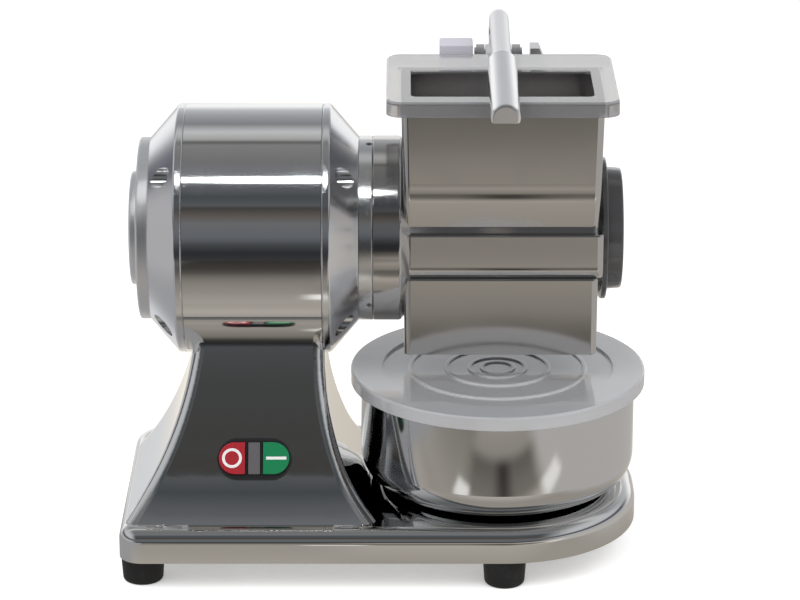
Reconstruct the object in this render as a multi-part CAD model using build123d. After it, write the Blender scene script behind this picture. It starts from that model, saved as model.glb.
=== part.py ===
from build123d import *
import math
import os

# Electric grater in millimetres. The floor is z = 0, +Z is up, the switch faces -Y and the motor axis
# runs along X. Sizes below count y from the middle of the mouth, chute and bowl; the finished pieces
# are moved together so that the origin lies under the middle of the whole.

# Overall layout
AXIS_Y = 24.0               # motor axis behind the line of the mouth and bowl
AXIS_Z = 247.0              # motor axis above the floor
MOTOR_X = -100.0            # middle of the barrel
HEAD_X = 89.0               # middle of the mouth, neck and chute
BOWL_X = 88.0               # middle of the bowl
FIT = 0.05                  # running or locating clearance, radial
SEAT_GAP = 0.3              # clearance of a loose piece on its seat

# Base of the stand
BASE_LEFT_X = -202.5
BASE_RIGHT_X = 196.0
BASE_DEPTH = 232.0
BASE_BOTTOM_Z = 24.0
BASE_TOP_Z = 50.0
BASE_FRONT_CORNER_R = 18.0      # left end, front
BASE_REAR_CORNER_R = 30.0       # left end, rear
BASE_END_FLAT = 22.0         # straight part of the right end, between its two rounds
BASE_EDGE_R = 11.0
CAST_WALL = 5.0

# Pedestal of the stand
FLANK_LEFT_X = -145.5       # upright part of the left flank
FLANK_LEFT_Z = 199.0        # height where the left flank starts to flare
FLANK_LEFT_R = 239.0
FLANK_RIGHT_X = -46.0
FLANK_RIGHT_Z = 162.0
FLANK_RIGHT_R = 204.0
FRONT_FOOT_Y = -96.0        # straight front face carried down to the base
FRONT_LEAN = 0.545          # run over rise of the front face
BACK_FOOT_Y = 98.0
BACK_LEAN = 0.185
FOOT_SPREAD = 5.8           # how far the cove at the foot runs out
FOOT_RISE = 32.0
PEDESTAL_FRONT_CORNER_R = 9.0
PEDESTAL_REAR_CORNER_R = 44.0
PEDESTAL_TOP_Z = 186.0
SADDLE_WALL = 6.0

# Feet
FOOT_TOP_R = 17.0
FOOT_BOTTOM_R = 15.3
FOOT_EDGE_R = 3.0
FOOT_LEFT_END_INSET = 17.0  # from the left end of the base
FOOT_LEFT_SIDE_INSET = 28.0  # from its front and back
FOOT_RIGHT_END_INSET = 104.0
FOOT_RIGHT_SIDE_INSET = 21.0
FOOT_BOSS_R = 8.0
FOOT_BOSS_RISE = 15.0       # over the top of the base
FOOT_RECESS_R = 5.6
FOOT_RECESS_DEPTH = 13.0

# Screws
SCREW_R = 2.5
SCREW_HEAD_R = 4.5
SCREW_HEAD_H = 3.0
SCREW_BITE = 14.0
SCREW_TIP_GAP = 1.0

# Bottom plate
PLATE_T = 2.0
PLATE_GAP = 0.5
PLATE_BOSS_R = 7.0
PLATE_SCREW_X = -60.0
PLATE_SCREW_SIDE_INSET = 10.0
PLATE_SCREW_END_INSET = 31.0

# Double push button, on the front face of the pedestal
SWITCH_X = -99.5
SWITCH_Z = 92.4
BEZEL_W = 57.5
BEZEL_H = 31.7
BEZEL_RISE = 5.0
BEZEL_SEAT = 0.6            # depth of the flat seat cut in the casting
BEZEL_FLOOR = 1.5
BEZEL_EDGE_R = 1.4
CAPS_W = 54.0
CAPS_H = 24.7
LENS_W = 9.2
CAP_GAP = 0.4
LENS_GAP = 2.2              # between the lens and each cap
CAP_PROUD = 2.0
BUTTON_EDGE_R = 0.65
BUTTON_TRAVEL = 2.0
BUTTON_STEM_W = 4.0
BUTTON_STEM_L = 6.0
SWITCH_COLLAR_R = 13.0
SWITCH_COLLAR_WALL = 1.0
SWITCH_NUT_R = 17.0
SWITCH_NUT_T = 4.0
CONTACT_BLOCK_W = 44.0
CONTACT_BLOCK_H = 30.0
CONTACT_BLOCK_D = 32.0
CONTACT_EDGE_R = 3.0

# Cable gland at the back of the pedestal
GLAND_X = -100.0
GLAND_Z = 95.0
GLAND_PAD_R = 14.0
GLAND_PAD_Y = 97.0
GLAND_BORE_R = 4.0
GLAND_THREAD_R = 8.0
GLAND_HEX_R = 11.0
GLAND_HEX_T = 6.0
GLAND_DOME_R = 9.0
GLAND_DOME_L = 9.0
GLAND_EDGE_R = 3.0
GLAND_NUT_T = 4.0

# Capacitor standing on the bottom plate
CAPACITOR_R = 18.0
CAPACITOR_H = 70.0
CAPACITOR_EDGE_R = 3.0
CAPACITOR_X = -128.0
CAPACITOR_Y = 48.0

# Motor barrel and its end shields
BARREL_R = 96.5
BARREL_WALL = 3.5
BARREL_LENGTH = 104.8
RIM_W = 6.1
RIM_EDGE_R = 2.5            # towards the cone
RIM_SEAM_R = 1.5            # towards the barrel
CONE_EDGE_R = 1.0
CONE_LENGTH = 22.0
CONE_END_R = 71.0
SHIELD_WALL = 6.0
SHIELD_SPIGOT = 4.0
RIB_T = 6.0
RIB_LENGTH = 52.0
RIB_COUNT = 6
RIB_START = 30.0
POCKET_R = 8.2              # pocket in the cone for the end of a tie bolt
POCKET_WALL = 3.0
SHAFT_HOLE_R = 14.0

# Stepped discs on the left end
COVER_R = 70.5
COVER_T = 8.5
COVER_EDGE_R = 2.0
COVER_SCREW_CIRCLE_R = 57.0
COVER_SCREW_COUNT = 4
BOSS_R = 44.0
BOSS_T = 7.0

# Motor inside
SHAFT_R = 10.0
SHAFT_MIDDLE_R = 12.0
STATOR_R = 61.5
STATOR_LENGTH = 62.0
WINDING_R_IN = 42.0
WINDING_R_OUT = 57.0
WINDING_LENGTH = 12.0
WINDING_EDGE_R = 4.0
ROTOR_R = 36.0
AIR_GAP = 0.6
TIE_BOLT_COUNT = 4
TIE_BOLT_START = 45.0
BEARING_R = 23.5
BEARING_W = 14.0
RACE_IN_R = 14.0
RACE_OUT_R = 19.5
BALL_COUNT = 9
HUB_R = 31.0
FAN_R = 58.0
FAN_HUB_R = 20.0
FAN_LENGTH = 10.0
FAN_DISC_T = 2.0
FAN_GAP = 3.0               # between the fan and the winding
FAN_BLADES = 8
FAN_BLADE_T = 2.0
SADDLE_SCREW_SPREAD = 25.0  # each side of the middle of the barrel

# Coupling ring between motor and head
RING_R = 71.5
RING_W = 10.4
RING_SEAM_R = 0.8           # where the ring meets the collar of the head
RING_PLATE_T = 4.0
RING_PLATE_R_IN = 40.0
RING_BORE_R = 58.0
RING_SCREW_CIRCLE_R = 48.0
RING_SCREW_COUNT = 4
GRUB_R = 2.5
GRUB_SOCKET = 1.0           # how far a grub screw sits below the ring
GRUB_ANGLES = (82, 202, 322)

# Grater head
MOUTH_W = 138.0
MOUTH_D = 75.0
NECK_SIDE_WALL = 5.0
NECK_FACE_WALL = 7.5
NECK_FRONT_WALL = 10.5
NECK_SPREAD = 2.3           # how much wider the neck is at the top, each side
NECK_LEAN = 3.5             # degrees that the front of the neck leans out
NECK_TOP_Z = 367.3
NECK_TUCK_Z = 305.0         # where the neck starts to draw in towards the drum
NECK_TUCK_R = 53.0
NECK_FOOT_LEAN = 21.0       # degrees that the foot of the neck draws in
BAND_TOP_Z = 261.5          # belt in front of the drum
BAND_BOTTOM_Z = 225.9
BAND_PROUD = 0.5            # in front of the drum housing
BAND_LEAN = 2.5             # degrees
BAND_TUCK_H = 11.4          # rounded foot of the belt
BAND_TUCK_R = 22.5
CHUTE_BOTTOM_Z = 163.0
CHUTE_LEAN = 5.0            # degrees that the front of the chute draws in
CHUTE_WALL = 8.5
HEAD_EDGE_R = 5.0
HEAD_RIDGE_R = 1.2          # top edges of the belt and chute
COLLAR_EDGE_R = 3.0
FLANGE_END_X = 12.0         # right end of the collar part of the head
FLANGE_BORE_R = 54.2
SPIGOT_L = 5.5
CHAMBER_R = 57.0
HOUSING_R = 62.5
CAP_BOSS_R = 55.0
CAP_NECK_R = 50.0           # where the boss leaves the side of the head
CAP_BOSS_L = 4.0
SEAL_R = 17.5
SEAL_W = 5.0

# Grating drum
DRUM_R = 53.0
DRUM_WALL = 3.0
DRUM_SIDE_GAP = 2.0
TOOTH_H = 1.2
TOOTH_R = 2.2
TOOTH_TIP_R = 0.45
TOOTH_ROWS = 9
TOOTH_COUNT = 12
DRUM_DISC_T = 6.0
DRUM_HUB_R = 18.0
DRUM_HUB_L = 20.0
DRUM_DISC_INSET = 2.0
DRIVE_PIN_R = 3.0
BOLT_FLANGE_R = 14.0
BOLT_FLANGE_T = 2.5
BOLT_HEAD_R = 7.5
BOLT_HEAD_H = 5.3
BOLT_R = 4.0
BOLT_L = 22.0

# Black cap on the right end of the drum housing
CAP_FLANGE_T = 4.0
CAP_BODY_R = 47.5
CAP_END_R = 46.5
CAP_EDGE_R = 2.0
CAP_FLANGE_EDGE_R = 1.3
CAP_BODY_L = 12.0
CAP_HOLE_R = 46.0
CAP_PLUG_L = 8.0
CAP_PLUG_WALL = 4.5
CAP_PLUG_GAP = 0.3
CAP_DISH_R = 38.0
CAP_DISH_DEPTH = 6.0
CAP_BAR_W = 14.0
CAP_FACE_T = 3.0
ORING_R = 1.5

# Clear guard round the mouth
GUARD_W = 175.0
GUARD_FRONT_Y = -54.5
GUARD_BACK_Y = 84.5
GUARD_T = 3.0
GUARD_SKIRT_H = 11.6
GUARD_SKIRT_T = 2.2
GUARD_CORNER_R = 12.0
GUARD_RIM_T = 2.5
GUARD_RIM_H = 8.0
MOUTH_CORNER_R = 5.0

# Hinge behind the mouth
HINGE_Y = 102.0
HINGE_Z = 364.0
HINGE_PIN_R = 5.0
HINGE_HEAD_R = 6.5
HINGE_HEAD_T = 1.5
HINGE_BOSS_R = 9.0
HINGE_BOSS_W = 20.0
EAR_GAP = 0.75
EAR_T = 6.5
SHELF_TOP_Z = 354.0
SHELF_T = 8.0
SHELF_BACK_Y = 111.5
SHELF_FRONT_Y = 90.0
BRACKET_PLATE_T = 6.0
BRACKET_PLATE_H = 34.0
BRACKET_PLATE_W = 60.0
BRACKET_SCREW_SPREAD = 22.0
LUG_X0 = 114.0
LUG_X1 = 128.0
LUG_TOP_Z = 372.0
INTERLOCK_X0 = 43.0
INTERLOCK_X1 = 69.0
INTERLOCK_TOP_Z = 376.0
INTERLOCK_EDGE_R = 1.5
MAGNET_R = 4.0
MAGNET_T = 3.0
MAGNET_Z = 384.0

# Lever
TIP_Y = -115.0
TIP_Z = 375.8
LEVER_TILT = 6.2
GRIP_R = 11.0
GRIP_L = 111.0
GRIP_SHOULDER_R = 3.0
GRIP_END_R = 2.0
SCOOP_R = 24.0
SCOOP_FROM_TIP = 15.0
SCOOP_DEPTH = 12.5
ROD_R = 7.5
ROD_INSIDE_GRIP = 50.0
LEVER_BEND_R = 16.0
STEM_W = 12.0
STEM_D = 20.0
STEM_Y = 8.0
PAD_W = 40.0
PAD_D = 30.0
PAD_T = 6.0
PRESSER_SCREW_SPREAD = 13.0

# Presser
PRESSER_SIDE_GAP = 2.0
PRESSER_TOP_Z = 322.0
PRESSER_BACK_Y = 33.0
PRESSER_SWING_R = 136.0     # front face, about the hinge
PRESSER_DRUM_GAP = 3.0
PRESSER_TOE_Z = 292.0       # foot of the front face

# Bowl and lid
BOWL_R = 106.5
BOWL_WALL = 1.2
BOWL_H = 90.0
BOWL_CORNER_R = 25.0
BOWL_RIM_W = 2.8
BOWL_RIM_H = 2.5
LID_T = 1.7
LID_SKIRT_GAP = 3.5         # between the bowl's rim and the lid's skirt
LID_SKIRT_H = 10.5
LID_LIP_GAP = 1.3           # between the lid's lip and the bowl's wall
LID_LIP_T = 1.4
LID_LIP_H = 6.0
LID_MARGIN_W = 24.5         # raised margin round the sunk middle
LID_RECESS_DEPTH = 2.0
LID_BEAD_RADII = (12.5, 22.0, 40.0, 68.0)
LID_BEAD_W = 3.0
LID_BEAD_H = 1.2

# Worked out from the sizes above
BASE_HALF = BASE_DEPTH / 2
FRAME_SHIFT_Y = (BASE_HALF - AXIS_Y - BARREL_R) / 2     # brings the origin under the middle of the whole
PLATE_TOP_Z = BASE_BOTTOM_Z + PLATE_T
BARREL_LEFT_X = MOTOR_X - BARREL_LENGTH / 2
BARREL_RIGHT_X = MOTOR_X + BARREL_LENGTH / 2
SHIELD_REACH = BARREL_LENGTH / 2 + RIM_W + CONE_LENGTH
MOTOR_LEFT_X = MOTOR_X - SHIELD_REACH
MOTOR_RIGHT_X = MOTOR_X + SHIELD_REACH
RIM_REACH = BARREL_LENGTH / 2 + RIM_W
TIE_BOLT_CIRCLE_R = (BARREL_R + CONE_END_R) / 2
BEARING_OFFSET = SHIELD_REACH - SHIELD_WALL - BEARING_W / 2
RING_RIGHT_X = MOTOR_RIGHT_X + RING_W
NECK_W = MOUTH_W + 2 * NECK_SIDE_WALL
NECK_FRONT_Y = -MOUTH_D / 2 - NECK_FRONT_WALL
NECK_BACK_Y = MOUTH_D / 2 + NECK_FACE_WALL
NECK_TOP_FRONT_Y = NECK_FRONT_Y - (NECK_TOP_Z - NECK_TUCK_Z) * math.tan(math.radians(NECK_LEAN))
BAND_FRONT_Y = AXIS_Y - HOUSING_R - BAND_PROUD
HEAD_LEFT_X = HEAD_X - NECK_W / 2
HEAD_RIGHT_X = HEAD_X + NECK_W / 2
CHAMBER_LEFT_X = HEAD_X - MOUTH_W / 2
CHAMBER_RIGHT_X = HEAD_X + MOUTH_W / 2
CAP_SEAT_X = HEAD_RIGHT_X + CAP_BOSS_L
DRUM_LEFT_X = CHAMBER_LEFT_X + DRUM_SIDE_GAP
DRUM_RIGHT_X = CHAMBER_RIGHT_X - DRUM_SIDE_GAP
SHAFT_END_X = DRUM_RIGHT_X - DRUM_DISC_INSET
DRIVE_PIN_X = DRUM_LEFT_X + DRUM_DISC_INSET + (DRUM_HUB_L + DRUM_DISC_T) / 2
GUARD_TOP_Z = NECK_TOP_Z + GUARD_T
FRONT_ANGLE = math.degrees(math.atan(FRONT_LEAN))
LID_TOP_Z = BASE_TOP_Z + BOWL_H + SEAT_GAP + LID_T
LID_R = BOWL_R + BOWL_RIM_W + LID_SKIRT_GAP + LID_T
LID_LIP_R = BOWL_R - BOWL_WALL - LID_LIP_GAP
LID_RECESS_R = LID_R - LID_MARGIN_W
CENTRED_LOW = (Align.CENTER, Align.CENTER, Align.MIN)
CENTRED_HIGH = (Align.CENTER, Align.CENTER, Align.MAX)


def bar_x(x0, x1, radius, y=AXIS_Y, z=AXIS_Z):
    """A round bar parallel to X between two stations, on the motor axis unless told otherwise."""
    place = Plane(origin=(min(x0, x1), y, z), x_dir=(0, 1, 0), z_dir=(1, 0, 0))
    return place * Cylinder(radius, abs(x1 - x0), align=CENTRED_LOW)


def tube_x(x0, x1, outer, inner):
    return bar_x(x0, x1, outer) - bar_x(x0, x1, inner)


def post(x, y, z0, z1, radius):
    """An upright round bar."""
    return Pos(x, y, z0) * Cylinder(radius, z1 - z0, align=CENTRED_LOW)


def block(x0, x1, y0, y1, z0, z1):
    return Pos((x0 + x1) / 2, (y0 + y1) / 2, (z0 + z1) / 2) * Box(x1 - x0, y1 - y0, z1 - z0)


def turned(points, rounds=()):
    """A solid turned about the motor axis from (x, radius) points; rounds are (point, radius) pairs."""
    face = make_face(Polyline(*points, close=True))
    for point, radius in rounds:
        corner = face.vertices().sort_by_distance((point[0], point[1], 0))[0]
        face = fillet(corner, radius)
    return Pos(0, AXIS_Y, AXIS_Z) * revolve(Plane.XZ * face, Axis.X, 360)


def on_circle(count, radius, start=0.0):
    """Evenly spaced (y, z) points round the motor axis."""
    for k in range(count):
        angle = math.radians(start + 360 * k / count)
        yield AXIS_Y + radius * math.cos(angle), AXIS_Z + radius * math.sin(angle)


def group(shapes):
    return Compound([solid for shape in shapes for solid in shape.solids()])


# Stand

def base_plan(inset):
    """Plan of the base: small corners at the left, a broad round at the right."""
    width = BASE_RIGHT_X - BASE_LEFT_X - 2 * inset
    depth = BASE_DEPTH - 2 * inset
    plan = Pos((BASE_LEFT_X + BASE_RIGHT_X) / 2, 0) * Rectangle(width, depth)
    front, rear = plan.vertices().sort_by(Axis.X)[:2].sort_by(Axis.Y)
    plan = fillet(front, BASE_FRONT_CORNER_R - inset)
    rear = plan.vertices().sort_by_distance((rear.X, rear.Y, 0))[0]
    plan = fillet(rear, BASE_REAR_CORNER_R - inset)
    end_corner_r = (BASE_DEPTH - BASE_END_FLAT) / 2
    return fillet(plan.vertices().sort_by(Axis.X)[-2:], end_corner_r - inset)


def flare(radius, start_z, z):
    """How far a flank has run out at height z, along a round that starts upright."""
    drop = max(start_z - z, 0)
    return radius - math.sqrt(radius ** 2 - drop ** 2)


def cove(z):
    """Extra run-out of the soft cove where the pedestal meets the base."""
    rise = min((z - BASE_TOP_Z) / FOOT_RISE, 1)
    return FOOT_SPREAD * (1 - rise) ** 2


def pedestal_section(z, inset):
    left = FLANK_LEFT_X - flare(FLANK_LEFT_R, FLANK_LEFT_Z, z) + inset
    right = FLANK_RIGHT_X + flare(FLANK_RIGHT_R, FLANK_RIGHT_Z, z) + cove(z) - inset
    front = FRONT_FOOT_Y + FRONT_LEAN * (z - BASE_TOP_Z) - cove(z) + inset
    back = BACK_FOOT_Y - BACK_LEAN * (z - BASE_TOP_Z) + cove(z) - inset
    outline = Rectangle(right - left, back - front)
    outline = fillet(outline.vertices().sort_by(Axis.Y)[:2], PEDESTAL_FRONT_CORNER_R - inset)
    outline = fillet(outline.vertices().sort_by(Axis.Y)[-2:], PEDESTAL_REAR_CORNER_R - inset)
    return Pos((left + right) / 2, (front + back) / 2, z) * outline


def pedestal(inset, sunk):
    """The flared pedestal, carried straight down by sunk so that it joins the base."""
    near = [BASE_TOP_Z + FOOT_RISE * share for share in (0, 0.2, 0.45, 0.75, 1.1)]
    far = [BASE_TOP_Z + (PEDESTAL_TOP_Z - BASE_TOP_Z) * share for share in (0.36, 0.48, 0.61, 0.74, 0.87, 1)]
    body = loft([pedestal_section(z, inset) for z in near + far])
    return body + extrude(pedestal_section(BASE_TOP_Z, inset), -sunk)


def foot_places():
    left = (BASE_LEFT_X + FOOT_LEFT_END_INSET, BASE_HALF - FOOT_LEFT_SIDE_INSET)
    right = (BASE_RIGHT_X - FOOT_RIGHT_END_INSET, BASE_HALF - FOOT_RIGHT_SIDE_INSET)
    for side, (x, y) in (("left", left), ("right", right)):
        yield f"foot_front_{side}", x, -y
        yield f"foot_rear_{side}", x, y


def plate_screw_places():
    y = BASE_HALF - PLATE_SCREW_SIDE_INSET
    return ((PLATE_SCREW_X, -y), (PLATE_SCREW_X, y), (BASE_RIGHT_X - PLATE_SCREW_END_INSET, 0))


def saddle_screw_places():
    return (MOTOR_X - SADDLE_SCREW_SPREAD, MOTOR_X + SADDLE_SCREW_SPREAD)


def switch_plane():
    """Plane of the switch's seat: x across, y up the slope, z out of the face."""
    front = FRONT_FOOT_Y + FRONT_LEAN * (SWITCH_Z - BASE_TOP_Z)
    lean = math.radians(FRONT_ANGLE)
    normal = Vector(0, -math.cos(lean), math.sin(lean))
    seat = Vector(SWITCH_X, front, SWITCH_Z) - normal * BEZEL_SEAT
    return Plane(origin=seat, x_dir=(1, 0, 0), z_dir=normal)


def switch_wall():
    """Thickness of the wall left behind the switch's seat."""
    return CAST_WALL * math.cos(math.radians(FRONT_ANGLE)) - BEZEL_SEAT + FIT


def stand_casting():
    base = extrude(Pos(0, 0, BASE_BOTTOM_Z) * base_plan(0), BASE_TOP_Z - BASE_BOTTOM_Z)
    base = fillet(base.faces().sort_by(Axis.Z)[-1].edges(), BASE_EDGE_R)
    roof_z = BASE_TOP_Z - CAST_WALL
    outer = base + pedestal(0, CAST_WALL)
    outer += Plane((GLAND_X, 0, GLAND_Z), z_dir=(0, 1, 0)) * Cylinder(
        GLAND_PAD_R, GLAND_PAD_Y, align=CENTRED_LOW)
    saddle = bar_x(BARREL_LEFT_X, BARREL_RIGHT_X, BARREL_R + SADDLE_WALL)
    base_room = extrude(Pos(0, 0, BASE_BOTTOM_Z) * base_plan(CAST_WALL), roof_z - BASE_BOTTOM_Z)
    casting = outer - base_room - (pedestal(CAST_WALL, 2 * CAST_WALL) - saddle)
    bosses = [post(x, y, PLATE_TOP_Z, BASE_TOP_Z + FOOT_BOSS_RISE, FOOT_BOSS_R) for _, x, y in foot_places()]
    bosses += [post(x, y, PLATE_TOP_Z, BASE_TOP_Z, PLATE_BOSS_R) for x, y in plate_screw_places()]
    for boss in bosses:
        casting += boss & outer
    cuts = [bar_x(BARREL_LEFT_X - RIM_W, BARREL_RIGHT_X + RIM_W, BARREL_R)]
    for x, y in [(x, y) for _, x, y in foot_places()] + list(plate_screw_places()):
        cuts.append(post(x, y, PLATE_TOP_Z, PLATE_TOP_Z + SCREW_BITE + SCREW_TIP_GAP, SCREW_R + FIT))
    for x in saddle_screw_places():
        cuts.append(post(x, AXIS_Y, BASE_TOP_Z, AXIS_Z, SCREW_R + FIT))
    seat = switch_plane()
    cuts.append(seat * extrude(SlotOverall(BEZEL_W + 2 * FIT, BEZEL_H + 2 * FIT), BEZEL_RISE))
    cuts.append(seat * Cylinder(SWITCH_COLLAR_R + FIT, 4 * CAST_WALL))
    spot_face = Cylinder(SWITCH_NUT_R + SEAT_GAP, SWITCH_NUT_T, align=CENTRED_HIGH)
    cuts.append(seat * Pos(0, 0, -switch_wall()) * spot_face)
    gland = Plane((GLAND_X, AXIS_Y, GLAND_Z), z_dir=(0, 1, 0))
    cuts.append(gland * Cylinder(GLAND_THREAD_R + FIT, BASE_HALF, align=CENTRED_LOW))
    for cut in cuts:
        casting -= cut
    return casting


def bottom_plate():
    plate = extrude(Pos(0, 0, BASE_BOTTOM_Z) * base_plan(CAST_WALL + PLATE_GAP), PLATE_T)
    places = [(x, y) for _, x, y in foot_places()] + list(plate_screw_places())
    return plate - [post(x, y, BASE_BOTTOM_Z, PLATE_TOP_Z, SCREW_R + FIT) for x, y in places]


def bottom_plate_screws():
    screws = []
    for x, y in plate_screw_places():
        shank = post(x, y, BASE_BOTTOM_Z, PLATE_TOP_Z + SCREW_BITE, SCREW_R)
        screws.append(shank + post(x, y, BASE_BOTTOM_Z - SCREW_HEAD_H, BASE_BOTTOM_Z, SCREW_HEAD_R))
    return group(screws)


def foot(x, y):
    half = make_face(Polyline((0, 0), (FOOT_BOTTOM_R, 0), (FOOT_TOP_R, BASE_BOTTOM_Z), (0, BASE_BOTTOM_Z),
                              close=True))
    rim = half.vertices().sort_by_distance((FOOT_BOTTOM_R, 0, 0))[0]
    pad = revolve(Plane.XZ * fillet(rim, FOOT_EDGE_R), Axis.Z, 360)
    recess = Cylinder(FOOT_RECESS_R, FOOT_RECESS_DEPTH, align=CENTRED_LOW)
    hole = Cylinder(SCREW_R + FIT, BASE_BOTTOM_Z, align=CENTRED_LOW)
    return Pos(x, y, 0) * (pad - recess - hole)


def foot_screws():
    screws = []
    for _, x, y in foot_places():
        head = post(x, y, FOOT_RECESS_DEPTH - SCREW_HEAD_H, FOOT_RECESS_DEPTH, SCREW_HEAD_R)
        screws.append(head + post(x, y, FOOT_RECESS_DEPTH, PLATE_TOP_Z + SCREW_BITE, SCREW_R))
    return group(screws)


def cable_gland():
    """Hexagon and dome outside the pad, a thread through the wall and a lock nut inside."""
    wall_in = BACK_FOOT_Y - BACK_LEAN * (GLAND_Z - BASE_TOP_Z) - CAST_WALL
    nut_y = wall_in - FOOT_SPREAD - GLAND_NUT_T
    thread = Plane((GLAND_X, nut_y, GLAND_Z), z_dir=(0, 1, 0)) * Cylinder(
        GLAND_THREAD_R, GLAND_PAD_Y - nut_y, align=CENTRED_LOW)
    out = Plane((GLAND_X, GLAND_PAD_Y, GLAND_Z), z_dir=(0, 1, 0))
    hexagon = out * extrude(RegularPolygon(GLAND_HEX_R, 6), GLAND_HEX_T)
    dome = Cylinder(GLAND_DOME_R, GLAND_DOME_L, align=CENTRED_LOW)
    dome = fillet(dome.faces().sort_by(Axis.Z)[-1].edges(), GLAND_EDGE_R)
    body = thread + hexagon + out * (Pos(0, 0, GLAND_HEX_T) * dome)
    bore = Plane((GLAND_X, AXIS_Y, GLAND_Z), z_dir=(0, 1, 0))
    return body - bore * Cylinder(GLAND_BORE_R, 2 * BASE_HALF, align=CENTRED_LOW)


def run_capacitor():
    can = Cylinder(CAPACITOR_R, CAPACITOR_H, align=CENTRED_LOW)
    can = fillet(can.faces().sort_by(Axis.Z)[-1].edges(), CAPACITOR_EDGE_R)
    return Pos(CAPACITOR_X, CAPACITOR_Y, PLATE_TOP_Z) * can


# Double push button

def button_outline(side):
    """Flat half of the stadium left of the lens (side -1) or right of it (side 1)."""
    stadium = SlotOverall(CAPS_W, CAPS_H)
    inner = LENS_W / 2 + LENS_GAP
    half = CAPS_W / 2 - inner
    return stadium & Pos(side * (inner + half / 2), 0) * Rectangle(half, CAPS_H)


def button_stem_x(side):
    return side * (LENS_W / 2 + LENS_GAP + BUTTON_STEM_W / 2)


def switch_bezel():
    shell = extrude(SlotOverall(BEZEL_W, BEZEL_H), BEZEL_RISE)
    shell = fillet(shell.faces().sort_by(Axis.Z)[-1].outer_wire().edges(), BEZEL_EDGE_R)
    pocket = extrude(SlotOverall(CAPS_W + 2 * CAP_GAP, CAPS_H + 2 * CAP_GAP), BEZEL_RISE)
    shell -= Pos(0, 0, BEZEL_FLOOR) * pocket
    rib = Box(LENS_GAP - 2 * CAP_GAP, CAPS_H + 2 * CAP_GAP, BEZEL_RISE, align=CENTRED_LOW)
    for side in (-1, 1):
        shell += Pos(side * (LENS_W + LENS_GAP) / 2, 0, 0) * rib
    reach = switch_wall() + SWITCH_NUT_T
    collar = Cylinder(SWITCH_COLLAR_R, reach, align=CENTRED_HIGH)
    collar -= Cylinder(SWITCH_COLLAR_R - SWITCH_COLLAR_WALL, reach, align=CENTRED_HIGH)
    shell += collar
    for side in (-1, 1):
        slot = Box(BUTTON_STEM_W + 2 * CAP_GAP, BUTTON_STEM_L + 2 * CAP_GAP, 4 * BEZEL_FLOOR)
        shell -= Pos(button_stem_x(side), 0, 0) * slot
    return switch_plane() * shell


def push_button(side):
    cap_low = BEZEL_FLOOR + BUTTON_TRAVEL + SEAT_GAP
    cap = extrude(button_outline(side), BEZEL_RISE + CAP_PROUD - cap_low)
    cap = fillet(cap.faces().sort_by(Axis.Z)[-1].edges(), BUTTON_EDGE_R)
    reach = cap_low + switch_wall()
    stem = Box(BUTTON_STEM_W, BUTTON_STEM_L, reach, align=CENTRED_HIGH)
    return switch_plane() * (Pos(0, 0, cap_low) * (cap + Pos(button_stem_x(side), 0, 0) * stem))


def indicator_lens():
    lens = extrude(Rectangle(LENS_W, CAPS_H), BEZEL_RISE - BEZEL_FLOOR + CAP_PROUD / 2)
    lens = fillet(lens.faces().sort_by(Axis.Z)[-1].edges(), BUTTON_EDGE_R)
    return switch_plane() * (Pos(0, 0, BEZEL_FLOOR) * lens)


def switch_nut():
    nut = Cylinder(SWITCH_NUT_R, SWITCH_NUT_T, align=CENTRED_HIGH)
    nut -= Cylinder(SWITCH_COLLAR_R + FIT, SWITCH_NUT_T, align=CENTRED_HIGH)
    return switch_plane() * (Pos(0, 0, -switch_wall()) * nut)


def switch_contact_block():
    top = -switch_wall() - SWITCH_NUT_T
    body = Box(CONTACT_BLOCK_W, CONTACT_BLOCK_H, CONTACT_BLOCK_D, align=CENTRED_HIGH)
    body = fillet(body.edges().filter_by(Axis.Z), CONTACT_EDGE_R)
    return switch_plane() * (Pos(0, 0, top) * body)


# Motor

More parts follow.
